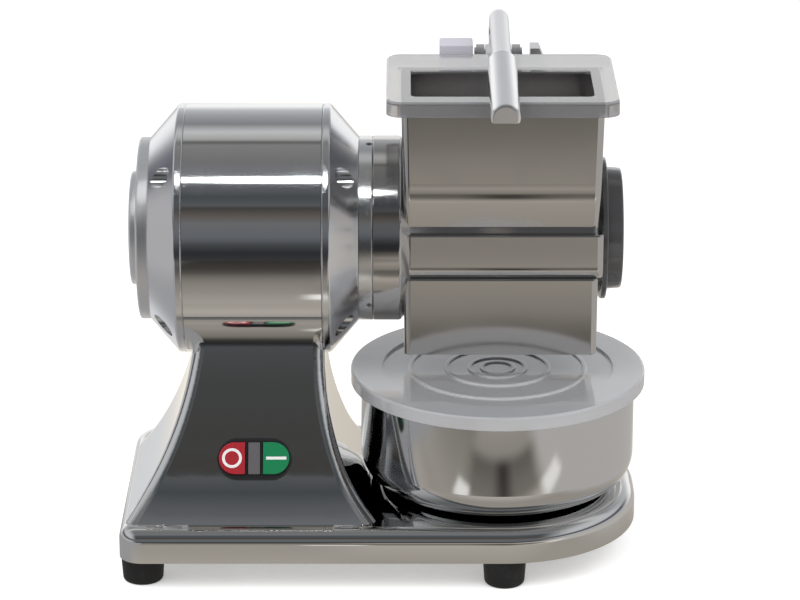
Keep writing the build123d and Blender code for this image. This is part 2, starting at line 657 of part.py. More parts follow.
def end_shield(side):
    """Rim, cone with bolt pockets, end wall and bearing hub; side -1 is the left end, 1 the right."""
    rim_in = BARREL_LENGTH / 2
    wall_in = SHIELD_REACH - SHIELD_WALL
    spigot_r = BARREL_R - BARREL_WALL - FIT
    throat_r = spigot_r - BARREL_WALL
    inner_r = CONE_END_R - SHIELD_WALL
    hub_in = wall_in - BEARING_W
    pocket_r = BEARING_R + FIT
    offsets = [(rim_in - SHIELD_SPIGOT, spigot_r), (rim_in, spigot_r), (rim_in, BARREL_R),
               (RIM_REACH, BARREL_R), (SHIELD_REACH, CONE_END_R), (SHIELD_REACH, SHAFT_HOLE_R),
               (wall_in, SHAFT_HOLE_R), (wall_in, pocket_r), (hub_in, pocket_r), (hub_in, HUB_R),
               (wall_in, HUB_R), (wall_in, inner_r), (rim_in, throat_r), (rim_in - SHIELD_SPIGOT, throat_r)]
    points = [(MOTOR_X + side * along, radius) for along, radius in offsets]
    rounds = [((MOTOR_X + side * rim_in, BARREL_R), RIM_SEAM_R),
              ((MOTOR_X + side * RIM_REACH, BARREL_R), RIM_EDGE_R),
              ((MOTOR_X + side * SHIELD_REACH, CONE_END_R), CONE_EDGE_R)]
    shield = turned(points, rounds)
    skin = SHIELD_WALL / 2
    inside = turned([(MOTOR_X + side * along, radius) for along, radius in (
        (RIM_REACH - POCKET_WALL, 0), (RIM_REACH - POCKET_WALL, BARREL_R - skin), (RIM_REACH, BARREL_R - skin),
        (SHIELD_REACH, CONE_END_R - skin), (SHIELD_REACH, 0))])
    floor_x = MOTOR_X + side * RIM_REACH
    outer_x = MOTOR_X + side * SHIELD_REACH
    for y, z in tie_bolt_places():
        shield += inside & bar_x(floor_x - side * POCKET_WALL, outer_x, POCKET_R + POCKET_WALL, y, z)
    for y, z in tie_bolt_places():
        shield -= bar_x(floor_x, outer_x, POCKET_R, y, z)
        shield -= bar_x(floor_x - side * POCKET_WALL, floor_x, SCREW_R + FIT, y, z)
    fixings = on_circle(RING_SCREW_COUNT, RING_SCREW_CIRCLE_R)
    if side < 0:
        fixings = on_circle(COVER_SCREW_COUNT, COVER_SCREW_CIRCLE_R)
    hole_r = SCREW_R + FIT
    return shield - [bar_x(outer_x - SHIELD_WALL, outer_x + SHIELD_WALL, hole_r, y, z) for y, z in fixings]


def tie_bolt_places():
    return on_circle(TIE_BOLT_COUNT, TIE_BOLT_CIRCLE_R, TIE_BOLT_START)


def motor_barrel():
    barrel = tube_x(BARREL_LEFT_X, BARREL_RIGHT_X, BARREL_R, BARREL_R - BARREL_WALL)
    for k in range(RIB_COUNT):
        rib_h = BARREL_R - BARREL_WALL / 2 - STATOR_R - FIT
        rib = Pos(0, 0, STATOR_R + FIT) * Box(RIB_LENGTH, RIB_T, rib_h, align=CENTRED_LOW)
        turn = Pos(MOTOR_X, AXIS_Y, AXIS_Z) * Rot(RIB_START + 360 * k / RIB_COUNT, 0, 0)
        barrel += turn * rib
    for x in saddle_screw_places():
        barrel -= post(x, AXIS_Y, AXIS_Z - BARREL_R - SADDLE_WALL, AXIS_Z - STATOR_R, SCREW_R + FIT)
    return barrel


def saddle_screws():
    low = AXIS_Z - BARREL_R - SADDLE_WALL
    screws = []
    for x in saddle_screw_places():
        head = post(x, AXIS_Y, low - SCREW_HEAD_H, low, SCREW_HEAD_R)
        screws.append(head + post(x, AXIS_Y, low, AXIS_Z - BARREL_R + BARREL_WALL, SCREW_R))
    return group(screws)


def tie_bolts():
    """A bolt from end to end at each pocket, with a head on the left and a nut on the right."""
    left = MOTOR_X - RIM_REACH
    right = MOTOR_X + RIM_REACH
    bolts = []
    for y, z in tie_bolt_places():
        head = bar_x(left - SCREW_HEAD_H, left, SCREW_HEAD_R, y, z)
        nut = bar_x(right, right + SCREW_HEAD_H, SCREW_HEAD_R, y, z)
        bolts.append(bar_x(left, right, SCREW_R, y, z) + head + nut)
    return group(bolts)


def end_cover():
    left = MOTOR_LEFT_X - COVER_T
    points = [(MOTOR_LEFT_X, 0), (MOTOR_LEFT_X, COVER_R), (left, COVER_R), (left, 0)]
    cover = turned(points, [((left, COVER_R), COVER_EDGE_R)])
    for y, z in on_circle(COVER_SCREW_COUNT, COVER_SCREW_CIRCLE_R):
        cover -= bar_x(left, MOTOR_LEFT_X, SCREW_R + FIT, y, z)
        cover -= bar_x(left, left + SCREW_HEAD_H, SCREW_HEAD_R + FIT, y, z)
    return cover


def end_cover_boss():
    right = MOTOR_LEFT_X - COVER_T
    points = [(right, 0), (right, BOSS_R), (right - BOSS_T, BOSS_R), (right - BOSS_T, 0)]
    return turned(points, [((right - BOSS_T, BOSS_R), COVER_EDGE_R)])


def end_cover_screws():
    """Screws with their heads sunk flush with the cover."""
    face = MOTOR_LEFT_X - COVER_T
    seat = face + SCREW_HEAD_H
    screws = []
    for y, z in on_circle(COVER_SCREW_COUNT, COVER_SCREW_CIRCLE_R):
        head = bar_x(face, seat, SCREW_HEAD_R, y, z)
        screws.append(head + bar_x(seat, MOTOR_LEFT_X + SHIELD_WALL, SCREW_R, y, z))
    return group(screws)


def stator_core():
    half = STATOR_LENGTH / 2
    return tube_x(MOTOR_X - half, MOTOR_X + half, STATOR_R, ROTOR_R + AIR_GAP)


def stator_windings():
    """The two rounded end turns, one at each end of the core."""
    rings = []
    for side in (-1, 1):
        near = MOTOR_X + side * STATOR_LENGTH / 2
        far = near + side * WINDING_LENGTH
        points = [(near, WINDING_R_IN), (near, WINDING_R_OUT), (far, WINDING_R_OUT), (far, WINDING_R_IN)]
        rounds = [((far, WINDING_R_IN), WINDING_EDGE_R), ((far, WINDING_R_OUT), WINDING_EDGE_R)]
        rings.append(turned(points, rounds))
    return group(rings)


def rotor_core():
    half = STATOR_LENGTH / 2
    return tube_x(MOTOR_X - half, MOTOR_X + half, ROTOR_R, SHAFT_MIDDLE_R + FIT)


def motor_shaft():
    left = MOTOR_X - BEARING_OFFSET
    shoulder_l = left + BEARING_W / 2
    shoulder_r = MOTOR_X + BEARING_OFFSET - BEARING_W / 2
    shaft = bar_x(left - BEARING_W / 2, SHAFT_END_X, SHAFT_R) + bar_x(shoulder_l, shoulder_r, SHAFT_MIDDLE_R)
    shaft -= post(DRIVE_PIN_X, AXIS_Y, AXIS_Z - DRUM_HUB_R, AXIS_Z + DRUM_HUB_R, DRIVE_PIN_R + FIT)
    return shaft - bar_x(SHAFT_END_X - BOLT_L, SHAFT_END_X, BOLT_R + FIT)


def cooling_fan():
    """A back disc with straight radial blades on a hub."""
    right = MOTOR_X - STATOR_LENGTH / 2 - WINDING_LENGTH - FAN_GAP
    left = right - FAN_LENGTH
    fan = bar_x(left, right, FAN_HUB_R) + bar_x(left, left + FAN_DISC_T, FAN_R)
    for k in range(FAN_BLADES):
        blade = Box(FAN_LENGTH, FAN_BLADE_T, FAN_R - FAN_HUB_R, align=CENTRED_LOW)
        blade = Pos(0, 0, FAN_HUB_R - FAN_BLADE_T) * blade
        fan += Pos((left + right) / 2, AXIS_Y, AXIS_Z) * Rot(360 * k / FAN_BLADES, 0, 0) * blade
    return fan - bar_x(left, right, SHAFT_MIDDLE_R + FIT)


def bearing(side):
    """Outer ring, inner ring and balls of one bearing."""
    middle = MOTOR_X + side * BEARING_OFFSET
    low, high = middle - BEARING_W / 2, middle + BEARING_W / 2
    outer = tube_x(low, high, BEARING_R, RACE_OUT_R)
    inner = tube_x(low, high, RACE_IN_R, SHAFT_R + FIT / 2)
    ball_r = (RACE_OUT_R - RACE_IN_R) / 2 - FIT
    pitch_r = (RACE_OUT_R + RACE_IN_R) / 2
    balls = [Pos(middle, y, z) * Sphere(ball_r) for y, z in on_circle(BALL_COUNT, pitch_r)]
    return outer, inner, group(balls)


# Coupling ring

def coupling_ring():
    plate_right = MOTOR_RIGHT_X + RING_PLATE_T
    points = [(MOTOR_RIGHT_X, RING_PLATE_R_IN), (MOTOR_RIGHT_X, RING_R), (RING_RIGHT_X, RING_R),
              (RING_RIGHT_X, RING_BORE_R), (plate_right, RING_BORE_R), (plate_right, RING_PLATE_R_IN)]
    ring = turned(points, [((RING_RIGHT_X, RING_R), RING_SEAM_R)])
    ring -= [bar_x(MOTOR_RIGHT_X, plate_right, SCREW_R + FIT, y, z)
             for y, z in on_circle(RING_SCREW_COUNT, RING_SCREW_CIRCLE_R)]
    return ring - [grub_bar(angle, RING_PLATE_R_IN, 2 * RING_R, GRUB_R + FIT) for angle in GRUB_ANGLES]


def grub_bar(angle, inner, outer, radius):
    """A radial bar through the coupling ring; the angle is measured up from the front."""
    turn = math.radians(angle)
    radial = Vector(0, -math.cos(turn), math.sin(turn))
    x = RING_RIGHT_X - SPIGOT_L / 2
    start = Vector(x, AXIS_Y, AXIS_Z) + radial * inner
    return Plane(origin=start, z_dir=radial) * Cylinder(radius, outer - inner, align=CENTRED_LOW)


def grub_screws():
    screws = []
    for angle in GRUB_ANGLES:
        body = grub_bar(angle, RING_BORE_R, RING_R - GRUB_SOCKET, GRUB_R)
        screws.append(body - grub_bar(angle, RING_R - 3 * GRUB_SOCKET, RING_R, GRUB_R / 2))
    return group(screws)


def coupling_ring_screws():
    face = MOTOR_RIGHT_X + RING_PLATE_T
    screws = []
    for y, z in on_circle(RING_SCREW_COUNT, RING_SCREW_CIRCLE_R):
        head = bar_x(face, face + SCREW_HEAD_H, SCREW_HEAD_R, y, z)
        screws.append(head + bar_x(MOTOR_RIGHT_X - SHIELD_WALL, face, SCREW_R, y, z))
    return group(screws)


# Grater head

def drawn_in(y, z, lean, radius, foot_lean):
    """Start, middle and end of the round that turns a face, from (y, z) down, from one lean to another."""
    start = math.radians(lean)
    end = math.radians(foot_lean)
    middle_y = y + radius * math.cos(start)
    middle_z = z + radius * math.sin(start)
    return [(middle_y - radius * math.cos(turn), middle_z - radius * math.sin(turn))
            for turn in (start, (start + end) / 2, end)]


def neck_outline():
    """Side view of the neck, with (y, z) as plane coordinates."""
    start, middle, end = drawn_in(NECK_FRONT_Y, NECK_TUCK_Z, NECK_LEAN, NECK_TUCK_R, NECK_FOOT_LEAN)
    top = (NECK_TOP_FRONT_Y, NECK_TOP_Z)
    foot = (end[0] + (end[1] - BAND_TOP_Z) * math.tan(math.radians(NECK_FOOT_LEAN)), BAND_TOP_Z)
    return make_face([Line(top, start), ThreePointArc(start, middle, end),
                      Polyline(end, foot, (NECK_BACK_Y, BAND_TOP_Z), (NECK_BACK_Y, NECK_TOP_Z), top)])


def belt_outline():
    """Side view of the belt in front of the drum."""
    lean = math.radians(BAND_LEAN)
    tuck_z = BAND_BOTTOM_Z + BAND_TUCK_H
    foot_lean = math.degrees(math.asin(math.sin(lean) + BAND_TUCK_H / BAND_TUCK_R))
    start, middle, end = drawn_in(BAND_FRONT_Y, tuck_z, BAND_LEAN, BAND_TUCK_R, foot_lean)
    top = (BAND_FRONT_Y - (BAND_TOP_Z - tuck_z) * math.tan(lean), BAND_TOP_Z)
    return make_face([Line(top, start), ThreePointArc(start, middle, end),
                      Polyline(end, (NECK_BACK_Y, BAND_BOTTOM_Z), (NECK_BACK_Y, BAND_TOP_Z), top)])


def chute_front(z):
    """How far forward the front of the chute is at a height."""
    return BAND_FRONT_Y + (BAND_BOTTOM_Z - z) * math.tan(math.radians(CHUTE_LEAN))


def chute_outline():
    """Side view of the chute."""
    low = (chute_front(CHUTE_BOTTOM_Z), CHUTE_BOTTOM_Z)
    return make_face(Polyline((BAND_FRONT_Y, BAND_BOTTOM_Z), low, (NECK_BACK_Y, CHUTE_BOTTOM_Z),
                              (NECK_BACK_Y, BAND_BOTTOM_Z), close=True))


def neck_room_outline():
    """Side view of the room inside the neck, which narrows towards the drum."""
    front = -MOUTH_D / 2
    back = MOUTH_D / 2
    over = NECK_TOP_Z + GUARD_T
    start, middle, end = drawn_in(front, NECK_TUCK_Z, 0, NECK_TUCK_R - NECK_FACE_WALL, NECK_FOOT_LEAN)
    foot = (end[0] + (end[1] - BAND_TOP_Z) * math.tan(math.radians(NECK_FOOT_LEAN)), BAND_TOP_Z)
    return make_face([Line((front, over), start), ThreePointArc(start, middle, end),
                      Polyline(end, foot, (AXIS_Y, AXIS_Z), (back, AXIS_Z), (back, over), (front, over))])


def chute_room_outline():
    """Side view of the room inside the chute, open below."""
    back = MOUTH_D / 2
    low_z = CHUTE_BOTTOM_Z - CHUTE_WALL
    high = (chute_front(AXIS_Z) + CHUTE_WALL, AXIS_Z)
    low = (chute_front(low_z) + CHUTE_WALL, low_z)
    return make_face(Polyline(high, low, (back, low_z), (back, AXIS_Z), close=True))


def along_head(outline, x0, x1):
    """Extrude a (y, z) outline along X between two stations."""
    side = Plane(origin=(x0, 0, 0), x_dir=(0, 1, 0), z_dir=(1, 0, 0))
    return extrude(side * outline, x1 - x0)


def upright_edges(solid):
    return [edge for edge in solid.edges() if abs(edge.tangent_at(0.5).Z) > abs(edge.tangent_at(0.5).X)
            and abs(edge.tangent_at(0.5).Z) > abs(edge.tangent_at(0.5).Y)]


def ridged(solid):
    """Round the edges of the top face."""
    return fillet(solid.faces().sort_by(Axis.Z)[-1].edges(), HEAD_RIDGE_R)


def neck_body():
    """The neck, wider towards the top, with rounded upright edges."""
    depth = NECK_BACK_Y - NECK_TOP_FRONT_Y
    sides = Polyline((HEAD_LEFT_X, BAND_TOP_Z), (HEAD_RIGHT_X, BAND_TOP_Z),
                     (HEAD_RIGHT_X + NECK_SPREAD, NECK_TOP_Z), (HEAD_LEFT_X - NECK_SPREAD, NECK_TOP_Z), close=True)
    neck = along_head(neck_outline(), HEAD_LEFT_X - NECK_SPREAD, HEAD_RIGHT_X + NECK_SPREAD)
    neck &= extrude(Plane.XZ * make_face(sides), depth, both=True)
    return fillet(upright_edges(neck), HEAD_EDGE_R)


def belt_body():
    """The belt, which runs on to the seat of the end cap."""
    belt = along_head(belt_outline(), HEAD_LEFT_X, CAP_SEAT_X)
    belt = ridged(fillet(upright_edges(belt), HEAD_EDGE_R))
    return belt - block(HEAD_RIGHT_X, CAP_SEAT_X, AXIS_Y, NECK_BACK_Y, BAND_BOTTOM_Z, BAND_TOP_Z)


def head_casting():
    chute = along_head(chute_outline(), HEAD_LEFT_X, HEAD_RIGHT_X)
    chute = ridged(fillet(upright_edges(chute), HEAD_EDGE_R))
    body = neck_body() + belt_body() + chute
    housing_back = AXIS_Y + HOUSING_R
    body += bar_x(FLANGE_END_X, HEAD_RIGHT_X, HOUSING_R) & block(
        FLANGE_END_X, HEAD_RIGHT_X, 0, housing_back, AXIS_Z - HOUSING_R, AXIS_Z + HOUSING_R)
    body += turned([(RING_RIGHT_X, 0), (RING_RIGHT_X, RING_R), (FLANGE_END_X, RING_R),
                    (HEAD_LEFT_X + NECK_SIDE_WALL, HOUSING_R), (HEAD_LEFT_X + NECK_SIDE_WALL, 0)],
                   [((RING_RIGHT_X, RING_R), RING_SEAM_R), ((FLANGE_END_X, RING_R), COLLAR_EDGE_R)])
    body += bar_x(RING_RIGHT_X - SPIGOT_L, RING_RIGHT_X, RING_BORE_R - FIT)
    body += turned([(HEAD_RIGHT_X, 0), (HEAD_RIGHT_X, CAP_NECK_R), (CAP_SEAT_X, CAP_BOSS_R), (CAP_SEAT_X, 0)])
    body -= along_head(neck_room_outline(), CHAMBER_LEFT_X, CHAMBER_RIGHT_X)
    body -= bar_x(CHAMBER_LEFT_X, CHAMBER_RIGHT_X, CHAMBER_R)
    body -= along_head(chute_room_outline(), CHAMBER_LEFT_X, CHAMBER_RIGHT_X)
    body -= bar_x(CHAMBER_RIGHT_X, CAP_SEAT_X, CAP_HOLE_R)
    body -= bar_x(RING_RIGHT_X - SPIGOT_L, FLANGE_END_X, FLANGE_BORE_R)
    body -= bar_x(FLANGE_END_X, FLANGE_END_X + SEAL_W, SEAL_R + FIT)
    body -= bar_x(FLANGE_END_X, CHAMBER_LEFT_X, SHAFT_HOLE_R)
    for x in bracket_screw_places():
        hole = Plane((x, MOUTH_D / 2, bracket_screw_z()), z_dir=(0, 1, 0))
        body -= hole * Cylinder(SCREW_R + FIT, NECK_FACE_WALL, align=CENTRED_LOW)
    return body


def shaft_seal():
    return tube_x(FLANGE_END_X, FLANGE_END_X + SEAL_W, SEAL_R, SHAFT_R + FIT)


def grating_drum():
    """A sheet drum with rows of raised points, every second row shifted by half a step."""
    drum = tube_x(DRUM_LEFT_X, DRUM_RIGHT_X, DRUM_R, DRUM_R - DRUM_WALL)
    pitch = (DRUM_RIGHT_X - DRUM_LEFT_X) / TOOTH_ROWS
    teeth = []
    for row in range(TOOTH_ROWS):
        x = DRUM_LEFT_X + pitch * (row + 0.5)
        for k in range(TOOTH_COUNT):
            angle = math.radians(360 * (k + 0.5 * (row % 2)) / TOOTH_COUNT)
            radial = Vector(0, math.cos(angle), math.sin(angle))
            start = Vector(x, AXIS_Y, AXIS_Z) + radial * (DRUM_R - TOOTH_H)
            point = Cone(TOOTH_R, TOOTH_TIP_R, 2 * TOOTH_H, align=CENTRED_LOW)
            teeth.append(Plane(origin=start, z_dir=radial) * point)
    return drum + teeth


def drum_hub(side):
    """Disc and sleeve that carry one end of the drum on the shaft."""
    if side < 0:
        disc_l = DRUM_LEFT_X + DRUM_DISC_INSET
        sleeve = (disc_l, disc_l + DRUM_HUB_L)
    else:
        disc_l = DRUM_RIGHT_X - DRUM_DISC_INSET - DRUM_DISC_T
        sleeve = (disc_l + DRUM_DISC_T - DRUM_HUB_L, disc_l + DRUM_DISC_T)
    hub = bar_x(disc_l, disc_l + DRUM_DISC_T, DRUM_R - DRUM_WALL - FIT) + bar_x(*sleeve, DRUM_HUB_R)
    hub -= bar_x(*sleeve, SHAFT_R + FIT)
    if side < 0:
        hub -= post(DRIVE_PIN_X, AXIS_Y, AXIS_Z - DRUM_HUB_R, AXIS_Z + DRUM_HUB_R, DRIVE_PIN_R + FIT)
    return hub


def drive_pin():
    return post(DRIVE_PIN_X, AXIS_Y, AXIS_Z - DRUM_HUB_R, AXIS_Z + DRUM_HUB_R, DRIVE_PIN_R)


def drum_bolt():
    """Hexagon bolt with a broad flange that holds the drum on the shaft."""
    face = SHAFT_END_X + BOLT_FLANGE_T
    seat = Plane(origin=(face, AXIS_Y, AXIS_Z), x_dir=(0, 1, 0), z_dir=(1, 0, 0))
    head = extrude(seat * RegularPolygon(BOLT_HEAD_R, 6), BOLT_HEAD_H)
    head += bar_x(SHAFT_END_X, face, BOLT_FLANGE_R)
    return head + bar_x(face - BOLT_L, face, BOLT_R)


def end_cap():
    """Flange, round body with a dished face and grip bar, and a hollow plug with a seal groove."""
    flange_right = CAP_SEAT_X + CAP_FLANGE_T
    right = flange_right + CAP_BODY_L
    plug_r = CAP_HOLE_R - CAP_PLUG_GAP
    plug_left = CAP_SEAT_X - CAP_PLUG_L
    points = [(plug_left, 0), (plug_left, plug_r), (CAP_SEAT_X, plug_r), (CAP_SEAT_X, CAP_BOSS_R),
              (flange_right, CAP_BOSS_R), (flange_right, CAP_BODY_R), (right, CAP_END_R), (right, 0)]
    rounds = [((flange_right, CAP_BOSS_R), CAP_FLANGE_EDGE_R), ((right, CAP_END_R), CAP_EDGE_R)]
    cap = turned(points, rounds)
    dish = bar_x(right - CAP_DISH_DEPTH, right, CAP_DISH_R)
    grip = block(right - CAP_DISH_DEPTH, right, AXIS_Y - CAP_BAR_W / 2, AXIS_Y + CAP_BAR_W / 2,
                 AXIS_Z - CAP_BODY_R, AXIS_Z + CAP_BODY_R)
    cap -= dish - grip
    cap -= bar_x(plug_left, right - CAP_DISH_DEPTH - CAP_FACE_T, plug_r - CAP_PLUG_WALL)
    groove_x = CAP_SEAT_X - CAP_PLUG_L / 2
    return cap - tube_x(groove_x - ORING_R, groove_x + ORING_R, CAP_HOLE_R, CAP_HOLE_R - 2 * ORING_R - FIT)


def cap_seal():
    groove_x = CAP_SEAT_X - CAP_PLUG_L / 2
    ring = Torus(CAP_HOLE_R - FIT - ORING_R, ORING_R - FIT)
    return Plane(origin=(groove_x, AXIS_Y, AXIS_Z), x_dir=(0, 1, 0), z_dir=(1, 0, 0)) * ring


def hopper_guard():
    """Plate with a rounded mouth, a skirt all round and a rim that slips over the neck."""
    depth = GUARD_BACK_Y - GUARD_FRONT_Y
    middle = (GUARD_BACK_Y + GUARD_FRONT_Y) / 2
    low = GUARD_TOP_Z - GUARD_SKIRT_H
    outline = Pos(HEAD_X, middle) * RectangleRounded(GUARD_W, depth, GUARD_CORNER_R)
    inside = Pos(HEAD_X, middle) * RectangleRounded(
        GUARD_W - 2 * GUARD_SKIRT_T, depth - 2 * GUARD_SKIRT_T, GUARD_CORNER_R - GUARD_SKIRT_T)
    tray = extrude(Pos(0, 0, low) * outline, GUARD_SKIRT_H)
    tray = fillet(tray.faces().sort_by(Axis.Z)[-1].edges(), GUARD_SKIRT_T)
    tray -= extrude(Pos(0, 0, low) * inside, GUARD_SKIRT_H - GUARD_T)
    rim_w = NECK_W + 2 * NECK_SPREAD + 2 * FIT
    rim_d = NECK_BACK_Y - NECK_TOP_FRONT_Y + 2 * FIT
    rim_y = (NECK_BACK_Y + NECK_TOP_FRONT_Y) / 2
    rim = Rectangle(rim_w + 2 * GUARD_RIM_T, rim_d + 2 * GUARD_RIM_T) - Rectangle(rim_w, rim_d)
    tray += extrude(Pos(HEAD_X, rim_y, NECK_TOP_Z - GUARD_RIM_H) * rim, GUARD_RIM_H)
    mouth = Pos(HEAD_X, 0, NECK_TOP_Z) * RectangleRounded(MOUTH_W, MOUTH_D, MOUTH_CORNER_R)
    return tray - extrude(mouth, GUARD_T)


# Hinge, lever and presser

def bracket_screw_places():
    return (HEAD_X - BRACKET_SCREW_SPREAD, HEAD_X + BRACKET_SCREW_SPREAD)


def bracket_screw_z():
    return SHELF_TOP_Z - SHELF_T - (BRACKET_PLATE_H - SHELF_T) / 2


def hinge_bracket():
    """Plate on the back of the neck, an arm under the guard, and a shelf with the two ears and a lug."""
    wall_y = NECK_BACK_Y
    ear_in = HINGE_BOSS_W / 2 + EAR_GAP
    ear_out = ear_in + EAR_T
    shelf_low = SHELF_TOP_Z - SHELF_T
    half_plate = BRACKET_PLATE_W / 2
    body = block(HEAD_X - half_plate, HEAD_X + half_plate, wall_y, wall_y + BRACKET_PLATE_T,
                 SHELF_TOP_Z - BRACKET_PLATE_H, SHELF_TOP_Z)
    body += block(HEAD_X - ear_out, HEAD_X + ear_out, wall_y, SHELF_BACK_Y, shelf_low, SHELF_TOP_Z)
    body += block(INTERLOCK_X0, LUG_X1, SHELF_FRONT_Y, SHELF_BACK_Y, shelf_low, SHELF_TOP_Z)
    gusset = make_face(Polyline((wall_y, SHELF_TOP_Z - BRACKET_PLATE_H), (SHELF_FRONT_Y, shelf_low),
                                (wall_y, shelf_low), close=True))
    body += along_head(gusset, HEAD_X - EAR_T / 2, HEAD_X + EAR_T / 2)
    for side in (-1, 1):
        x0, x1 = sorted((HEAD_X + side * ear_in, HEAD_X + side * ear_out))
        ear = block(x0, x1, HINGE_Y - HINGE_BOSS_R, HINGE_Y + HINGE_BOSS_R, shelf_low, HINGE_Z)
        body += ear + bar_x(x0, x1, HINGE_BOSS_R, HINGE_Y, HINGE_Z)
    lug = Polyline((LUG_X0, shelf_low), (LUG_X0, LUG_TOP_Z), ((LUG_X0 + LUG_X1) / 2, LUG_TOP_Z),
                   (LUG_X1, SHELF_TOP_Z), (LUG_X1, shelf_low), close=True)
    lug_plane = Plane(origin=(0, SHELF_BACK_Y, 0), x_dir=(1, 0, 0), z_dir=(0, -1, 0))
    body += extrude(lug_plane * make_face(lug), SHELF_BACK_Y - HINGE_Y + HINGE_BOSS_R)
    body -= bar_x(HEAD_X - ear_out, HEAD_X + ear_out, HINGE_PIN_R + FIT, HINGE_Y, HINGE_Z)
    for x in bracket_screw_places():
        hole = Plane((x, wall_y, bracket_screw_z()), z_dir=(0, 1, 0))
        body -= hole * Cylinder(SCREW_R + FIT, BRACKET_PLATE_T, align=CENTRED_LOW)
    return body


def hinge_bracket_screws():
    face = NECK_BACK_Y + BRACKET_PLATE_T
    screws = []
    for x in bracket_screw_places():
        out = Plane((x, face, bracket_screw_z()), z_dir=(0, 1, 0))
        head = out * Cylinder(SCREW_HEAD_R, SCREW_HEAD_H, align=CENTRED_LOW)
        length = BRACKET_PLATE_T + NECK_FACE_WALL - SCREW_TIP_GAP
        screws.append(head + out * Cylinder(SCREW_R, length, align=CENTRED_HIGH))
    return group(screws)


def hinge_pin():
    """Plain pin with a round head at each end."""
    half = HINGE_BOSS_W / 2 + EAR_GAP + EAR_T
    pin = bar_x(HEAD_X - half, HEAD_X + half, HINGE_PIN_R, HINGE_Y, HINGE_Z)
    for side in (-1, 1):
        x0, x1 = sorted((HEAD_X + side * half, HEAD_X + side * (half + HINGE_HEAD_T)))
        pin += bar_x(x0, x1, HINGE_HEAD_R, HINGE_Y, HINGE_Z)
    return pin


def interlock_box():
    depth = SHELF_BACK_Y - SHELF_FRONT_Y
    box = Pos((INTERLOCK_X0 + INTERLOCK_X1) / 2, (SHELF_BACK_Y + SHELF_FRONT_Y) / 2, SHELF_TOP_Z) * Box(
        INTERLOCK_X1 - INTERLOCK_X0, depth, INTERLOCK_TOP_Z - SHELF_TOP_Z, align=CENTRED_LOW)
    return fillet(box.edges().filter_by(Axis.Z) + box.edges().group_by(Axis.Z)[-1], INTERLOCK_EDGE_R)


def lever_line(along):
    """A point on the tilted axis of grip and rod, measured back from the tip."""
    tilt = math.radians(LEVER_TILT)
    return Vector(HEAD_X, TIP_Y + along * math.cos(tilt), TIP_Z + along * math.sin(tilt))


def lever_plane(along):
    tilt = math.radians(LEVER_TILT)
    return Plane(origin=lever_line(along), x_dir=(1, 0, 0), z_dir=(0, math.cos(tilt), math.sin(tilt)))


def lever_arm():
    """Rod, bend, hinge boss and the stem with its pad that carries the presser."""
    reach = (HINGE_Y - TIP_Y) / math.cos(math.radians(LEVER_TILT))
    corner = lever_line(reach)
    start_at = GRIP_L - ROD_INSIDE_GRIP
    path = FilletPolyline(lever_line(start_at), corner, Vector(HEAD_X, HINGE_Y, HINGE_Z), radius=LEVER_BEND_R)
    arm = sweep(lever_plane(start_at) * Circle(ROD_R), path=path)
    half = HINGE_BOSS_W / 2
    arm += bar_x(HEAD_X - half, HEAD_X + half, HINGE_BOSS_R, HINGE_Y, HINGE_Z)
    rod_z = TIP_Z + (STEM_Y - TIP_Y) * math.tan(math.radians(LEVER_TILT))
    arm += block(HEAD_X - STEM_W / 2, HEAD_X + STEM_W / 2, STEM_Y - STEM_D / 2, STEM_Y + STEM_D / 2,
                 PRESSER_TOP_Z, rod_z)
    arm += block(HEAD_X - PAD_W / 2, HEAD_X + PAD_W / 2, STEM_Y - PAD_D / 2, STEM_Y + PAD_D / 2,
                 PRESSER_TOP_Z, PRESSER_TOP_Z + PAD_T)
    arm -= bar_x(HEAD_X - half, HEAD_X + half, HINGE_PIN_R + FIT, HINGE_Y, HINGE_Z)
    arm -= bar_x(HEAD_X - ROD_R, HEAD_X - ROD_R + MAGNET_T + FIT, MAGNET_R + FIT, HINGE_Y, MAGNET_Z)
    for x in presser_screw_places():
        arm -= post(x, STEM_Y, PRESSER_TOP_Z, PRESSER_TOP_Z + PAD_T, SCREW_R + FIT)
    return arm


def lever_grip():
    """Round grip slipped over the rod, with a thumb scoop near its front end."""
    grip = Cylinder(GRIP_R, GRIP_L, align=CENTRED_LOW)
    grip = fillet(grip.faces().sort_by(Axis.Z)[-1].edges(), GRIP_SHOULDER_R)
    grip = fillet(grip.faces().sort_by(Axis.Z)[0].edges(), GRIP_END_R)
    scoop = Rot(0, 90, 0) * Cylinder(SCOOP_R, 3 * GRIP_R)
    scoop = Pos(0, GRIP_R + SCOOP_R - SCOOP_DEPTH, SCOOP_FROM_TIP) * scoop
    start_at = GRIP_L - ROD_INSIDE_GRIP
    bore = Pos(0, 0, start_at) * Cylinder(ROD_R + FIT, ROD_INSIDE_GRIP, align=CENTRED_LOW)
    return lever_plane(0) * (grip - scoop - bore)


def interlock_magnet():
    left = HEAD_X - ROD_R
    return bar_x(left, left + MAGNET_T, MAGNET_R, HINGE_Y, MAGNET_Z)


def presser_screw_places():
    return (HEAD_X - PRESSER_SCREW_SPREAD, HEAD_X + PRESSER_SCREW_SPREAD)


